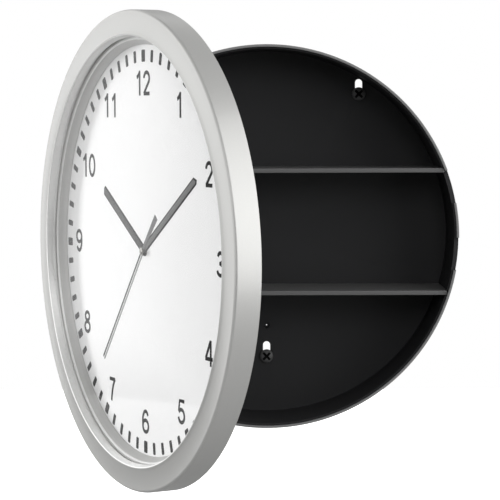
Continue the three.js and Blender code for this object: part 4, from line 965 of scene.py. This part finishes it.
low, high = door_span("second_cap")
cap_dome = dome(high.z, low.y, (high.y - low.y) * CAP_DOME_SHARE, steps=9)
make_piece(
    "centre_cap", Shape().turned([*cap_dome, (high.z, high.y), (0, high.y)], SMALL_STEPS),
    [cap_nickel], "second_train", ["second_cap"], door_place,
)
print("needle and cap made")

# %% [markdown]
# ## The case
# The case is a round pan. Its rim has an outer lip, coloured paler grey as a painted
# highlight, with a ledge inside it, two notches on the right free a springy tab for the catch,
# and grooves in the wall hold the shelves. The pan is turned in fine steps and everything
# else is cut from it, as in the tool that moulded it. Each slot ends just below its screw, so
# it shows only above the head.

# %% The case
CASE_WALL = 2.5
CASE_BACK = 2.5
BACK_ROUND = 1.5
RIM_LIP = 1.5
RIM_STEP = 2
INNER_ROUND = 1
RIM_EDGE = 0.25
case_bore = CASE_RADIUS - CASE_WALL
ledge = span("shelf_upper")[0].y
rim = ledge - RIM_STEP
edge = rim + RIM_EDGE
outer_lip = rounded((CASE_RADIUS - RIM_EDGE, edge), RIM_EDGE, 0, -90, steps=3)
inner_lip = rounded((CASE_RADIUS - RIM_LIP + RIM_EDGE, edge), RIM_EDGE, -90, -180, steps=3)
case_profile = [
    (0, 0),
    *rounded((CASE_RADIUS - BACK_ROUND, -BACK_ROUND), BACK_ROUND, 90, 0),
    *outer_lip,
    *inner_lip,
    (CASE_RADIUS - RIM_LIP, ledge),
    *rounded((case_bore + RIM_EDGE, ledge + RIM_EDGE), RIM_EDGE, -90, -180, steps=3),
    *rounded((case_bore - INNER_ROUND, -CASE_BACK - INNER_ROUND), INNER_ROUND, 0, 90, steps=4),
    (0, -CASE_BACK),
]
# The lip's rounds take the paler grey, a painted highlight
case = make_piece(
    "case_pan", Shape().turned(case_profile, lands=outer_lip + inner_lip[:-1]),
    [case_black, rim_highlight_grey], "case", ["case_shell"],
)

TAB_HEIGHT = 9.65  # middle of the tab, above the middle of the case
TAB_WIDTH = 20.3
NOTCH_WIDTH = 19
NOTCH_DEPTH = 5
notches = []
for side in (1, -1):
    near = TAB_HEIGHT + side * TAB_WIDTH / 2
    far = near + side * NOTCH_WIDTH
    notches.append(Shape().block(
        (0, rim - OVERRUN, min(near, far)), (CASE_RADIUS + OVERRUN, rim + NOTCH_DEPTH, max(near, far)),
    ))

SLOT_WIDTH = 4.4
SLOT_LENGTH = 11.2
SCREW_DROP = 9  # from the upper end of a slot to the middle of its screw
screw_spans = {name: span("wall_screw_" + name) for name in ("left", "right", "lower")}
screw_places, slots = {}, []
for name, (low, high) in screw_spans.items():
    x, z = (low.x + high.x) / 2, (low.z + high.z) / 2
    half = SLOT_WIDTH / 2
    upper = rounded((x, z + SCREW_DROP - half), half, 0, 180, steps=16)
    lower = rounded((x, z + SCREW_DROP - SLOT_LENGTH + half), half, 180, 360, steps=16)
    slots.append(Shape().plate([
        (-CASE_BACK - OVERRUN, upper + lower), (OVERRUN, upper + lower),
    ]))
    screw_places[name] = (x, z)

PILOT_HEIGHT = -57.3
PILOT_SINK = 2.1
PILOT_SKIN = 0.6
PILOT_RADIUS = 0.35
pilot = Shape().turned([
    (0, -CASE_BACK - OVERRUN), (PILOT_SINK, -CASE_BACK - OVERRUN), (PILOT_SINK, -PILOT_SKIN),
    (PILOT_RADIUS, -PILOT_SKIN), (PILOT_RADIUS, OVERRUN), (0, OVERRUN),
], SMALL_STEPS, (0, PILOT_HEIGHT))

SHELF_PLAY = 0.3
shelf_spans = {name: span("shelf_" + name) for name in ("upper", "lower")}
grooves = [
    Shape().block([v - SHELF_PLAY for v in low], [v + SHELF_PLAY for v in high])
    for low, high in shelf_spans.values()
]
cut_out(case, notches + slots + grooves + [pilot])

EAR_LOW, EAR_HIGH = 13.4, 20
EAR_ARM = 3.4
EAR_ROOT = 4.2
axis = (Vector(joints["door_hinge"]["pos_m"]) / MM).xy
foot = Vector((RIM_LIP - CASE_RADIUS, rim + EAR_ROOT / 2))
run = (foot - axis).normalized()
across = Vector((-run.y, run.x)) * EAR_ARM / 2
arm = [tuple(point) for point in (axis - across, foot - across, foot + across, axis + across)]
ear_shape = Shape()
for side in (1, -1):
    ends = sorted((side * EAR_LOW, side * EAR_HIGH))
    ear_shape.pillar(axis, KNUCKLE_RADIUS, *ends)
    ear_shape.plate([(ends[0], arm), (ends[1], arm)], upright=True)
make_piece("case_ears", ear_shape, [case_black], "case")
print("case:", len(case.data.polygons), "faces,", len(slots), "slots,", len(notches), "notches")

# %% [markdown]
# ## Shelves
# Two flat shelves slide into the case. Their front edges are rounded by the mould, and that
# round catches the light as a grey line across the dark case. The boards are also coloured a
# paler grey than the case, as a painted highlight.

# %% Shelves
SHELF_EDGE = 0.5
# Each board is in the paler grey of the painted highlight
for name, (low, high) in shelf_spans.items():
    shelf = make_piece(
        name + "_shelf_board", Shape().block(low, high), [shelf_highlight_grey], "case",
        ["shelf_" + name],
    )
    soften(shelf, SHELF_EDGE, 4)
    print(shelf.name, "is", round(high.x - low.x, 1), "mm wide")

# %% [markdown]
# ## Wall screws
# Three pan head screws hold the case through its slots. Their heads are domed, and the cross
# recess in each is turned by 45 degrees, so it shows as an X.

# %% Wall screws
HEAD_ROUND = 1.3
HEAD_OVERSIZE = 0.1  # a faceted head is a little narrower than the round one
SHANK_RADIUS = 1.9
RECESS_LENGTH = 6
RECESS_WIDTH = 1.4
RECESS_DEPTH = 1.3
RECESS_TURNS = (45, -45)
# The cross recess of each head is coloured the deepest black, as painted shade
for name, (low, high) in screw_spans.items():
    x, z = screw_places[name]
    head_radius = (high.x - low.x) / 2 + HEAD_OVERSIZE
    seat = -CASE_BACK - SEAT_GAP
    profile = [
        *dome(head_radius, low.y, HEAD_ROUND, steps=10),
        (head_radius, seat), (SHANK_RADIUS, seat), (SHANK_RADIUS, high.y), (0, high.y),
    ]
    screw = make_piece(
        name + "_wall_screw", Shape().turned(profile, SMALL_STEPS, (x, z)),
        [screw_black, recess_shade_black], "case", ["wall_screw_" + name],
    )
    arms = []
    for turn in RECESS_TURNS:
        reach_x = RECESS_LENGTH / 2 * math.cos(math.radians(turn))
        reach_z = RECESS_LENGTH / 2 * math.sin(math.radians(turn))
        arms.append(Shape().ribbon(
            [(x - reach_x, z - reach_z), (x + reach_x, z + reach_z)], [RECESS_WIDTH] * 2,
            low.y - OVERRUN, low.y + RECESS_DEPTH, finish=1,
        ))
    cut_out(screw, arms)
print("wall screws:", list(screw_places))

# %% [markdown]
# ## Solids that keep their shape
# The remaining pieces are right as they are, so they only need their finish and a soft edge.

# %% Finishes of the kept solids
COVER_SCREWS = 6
KEPT_EDGE = 0.12
kept_pieces = (
    (zinc_steel, [
        "hinge_pin_upper", "hinge_pin_lower", "catch_screw", "movement_screw_left",
        "movement_screw_right", "contact_positive", "contact_negative", "crystal",
        *(f"cover_screw_{number + 1}" for number in range(COVER_SCREWS)),
    ]),
    (milky_acetal, [
        "middle_plate", "hour_wheel", "motion_wheel", "centre_wheel", "third_wheel",
        "second_wheel", "fifth_wheel",
    ]),
    (movement_black, ["movement_front", "movement_back", "set_knob"]),
    (cover_black, ["rear_cover", "door_catch"]),
    (battery_film, ["battery"]), (sheet_iron, ["stator"]), (copper_wire, ["coil"]),
    (green_board, ["circuit_board"]), (turned_brass, ["minute_arbor"]), (magnet_grey, ["rotor"]),
)
for finish, names in kept_pieces:
    for name in names:
        node = frame["nodes"][name]
        node.material_slots[0].material = finish
        soften(node, KEPT_EDGE)
print("kept solids:", sum(len(names) for finish, names in kept_pieces))

# %% [markdown]
# ## Light and floor
# Two soft panels light the clock: one at the left and a little behind it grazes the dial, so
# the ring throws a narrow shade along the dial's left edge, and one in front at the right
# lights the side of the ring. A small one in front fills the dial. A pale world does the rest.
# It is darker above and below, round the camera and behind the clock, which gives the painted
# ring its dark sides. A black card stands where the right and the lowest part of the lens
# mirror it, so the print there is full black, and a pale veil lies over the print at the left.
# Beyond the card the world is brighter, for the right side of the ring's face. The camera
# sees plain white behind the clock, and the clock's shadow on the floor.

# %% Light and floor
BAND_FILL, TOP_FILL, LOW_FILL = 1.25, 0.3, 0.15
BAND_TOP, TOP_EDGE = 0.25, 0.9  # heights on a sphere round the clock, from -1 to 1
BAND_LOW, LOW_EDGE = -0.1, -0.26
DARK_FRONT, DARK_BACK = 0.1, 0.3
FRONT_EDGE, FRONT_CORE = 0.82, 0.94
BACK_EDGE, BACK_CORE = 0.82, 0.95
CARD_START = (130, 134)  # degrees round the clock, each from clear to covered
CARD_SIDE = (140.8, 143.5)
CARD_END = (146.2, 145.2)
CARD_LOW = (-0.104, -0.156)
CARD_TOP = (0.12, 0.06)
PALE_START = (146, 153)
PALE_END = (179, 170)
PALE_GAIN = 0.45
world = bpy.data.worlds.new("studio")
world.use_nodes = True
bpy.context.scene.world = world
tree = world.node_tree
tree.nodes.clear()
direction = add_node(tree, "SeparateXYZ", links={0: add_node(tree, "TexCoord").outputs["Generated"]})
height = direction.outputs["Z"]


def soft_edge(value, start, end, before=0, after=1):
    """Goes softly from one level to another while a value goes from start to end."""
    return add_node(tree, "MapRange", {
        "From Min": start, "From Max": end, "To Min": before, "To Max": after,
    }, {"Value": value}, interpolation_type="SMOOTHSTEP").outputs[0]


def combine(first, second, operation="MULTIPLY"):
    return add_node(tree, "Math", links={0: first, 1: second}, operation=operation).outputs[0]


turn = combine(direction.outputs["Y"], direction.outputs["X"], "ARCTAN2")


def side_edge(degrees):
    return soft_edge(turn, math.radians(degrees[0]), math.radians(degrees[1]))


card = combine(side_edge(CARD_SIDE), soft_edge(height, *CARD_LOW), "MAXIMUM")
for edge in (side_edge(CARD_END), side_edge(CARD_START), soft_edge(height, *CARD_TOP)):
    card = combine(card, edge)
pale = combine(side_edge(PALE_START), side_edge(PALE_END))
around = soft_edge(height, BAND_TOP, TOP_EDGE, BAND_FILL, TOP_FILL)
for level in (
    soft_edge(height, LOW_EDGE, BAND_LOW, LOW_FILL, 1),
    soft_edge(direction.outputs["Y"], -FRONT_EDGE, -FRONT_CORE, 1, DARK_FRONT),
    soft_edge(direction.outputs["Y"], BACK_EDGE, BACK_CORE, 1, DARK_BACK),
    add_node(tree, "Math", {0: 1}, {1: card}, operation="SUBTRACT").outputs[0],
    add_node(tree, "Math", {1: PALE_GAIN, 2: 1}, {0: pale}, operation="MULTIPLY_ADD").outputs[0],
):
    around = combine(around, level)
rays = add_node(tree, "LightPath")
strength = add_node(tree, "Mix", {VALUE_2: 1}, {0: rays.outputs["Is Camera Ray"], VALUE_1: around})
sky = add_node(tree, "Background", {"Color": to_linear("#ffffff")}, {
    "Strength": strength.outputs[0],
})
add_node(tree, "OutputWorld", links={"Surface": sky.outputs[0]})

# Name, place, width, height, power in watts, and whether a glossy piece mirrors the panel
panels = (
    ("left_panel", (-1.08, 0.65, 0.17), 0.18, 0.3, 17.4, False),
    ("right_panel", (0.95, -0.7, 0.42), 1.3, 1.9, 10.5, True),
    ("front_panel", (0.09, -1.35, 0.43), 0.4, 0.4, 5, False),
)
dial_middle = door_place.translation
for name, place, width, height, power, mirrored in panels:
    data = bpy.data.lights.new(name, "AREA")
    data.shape = "RECTANGLE"
    data.size = width
    data.size_y = height
    data.energy = power
    panel = bpy.data.objects.new(name, data)
    panel.location = place
    panel.rotation_mode = "QUATERNION"
    panel.rotation_quaternion = (dial_middle - Vector(place)).to_track_quat("-Z", "Y")
    panel.visible_glossy = mirrored
    bpy.context.collection.objects.link(panel)

FLOOR_DROP = 0.07
FLOOR_SIZE = 1.4
FLOOR_GLOW = 0.62
half = FLOOR_SIZE / 2
level = cad_low.z - FLOOR_DROP
floor_mesh = bpy.data.meshes.new("floor")
floor_mesh.from_pydata(
    [(-half, -half, level), (half, -half, level), (half, half, level), (-half, half, level)],
    [], [(0, 1, 2, 3)],
)
floor = bpy.data.objects.new("floor", floor_mesh)
bpy.context.collection.objects.link(floor)
floor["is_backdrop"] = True
floor_white, tree = empty_finish("white_studio_floor")
matt = add_node(tree, "BsdfDiffuse", {"Color": to_linear("#9c9c9c")})
bright = add_node(tree, "BsdfDiffuse", {"Color": to_linear("#ffffff")})
glow = add_node(tree, "Emission", {"Color": to_linear("#ffffff"), "Strength": FLOOR_GLOW})
lit = add_node(tree, "AddShader", links={0: bright.outputs[0], 1: glow.outputs[0]})
rays = add_node(tree, "LightPath")
floor_surface = add_node(tree, "MixShader", links={
    0: rays.outputs["Is Camera Ray"], 1: matt.outputs[0], 2: lit.outputs[0],
})
add_node(tree, "OutputMaterial", links={"Surface": floor_surface.outputs[0]})
floor_mesh.materials.append(floor_white)
bpy.context.scene.view_settings.view_transform = "Standard"
print("light and floor ready:", len(panels), "panels")

# %% [markdown]
# ## Finish
# The box of the dressed clock is printed.

# %% Sizes and finish
low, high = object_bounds()
print("visual box", [round(value, 4) for value in low], [round(value, 4) for value in high])
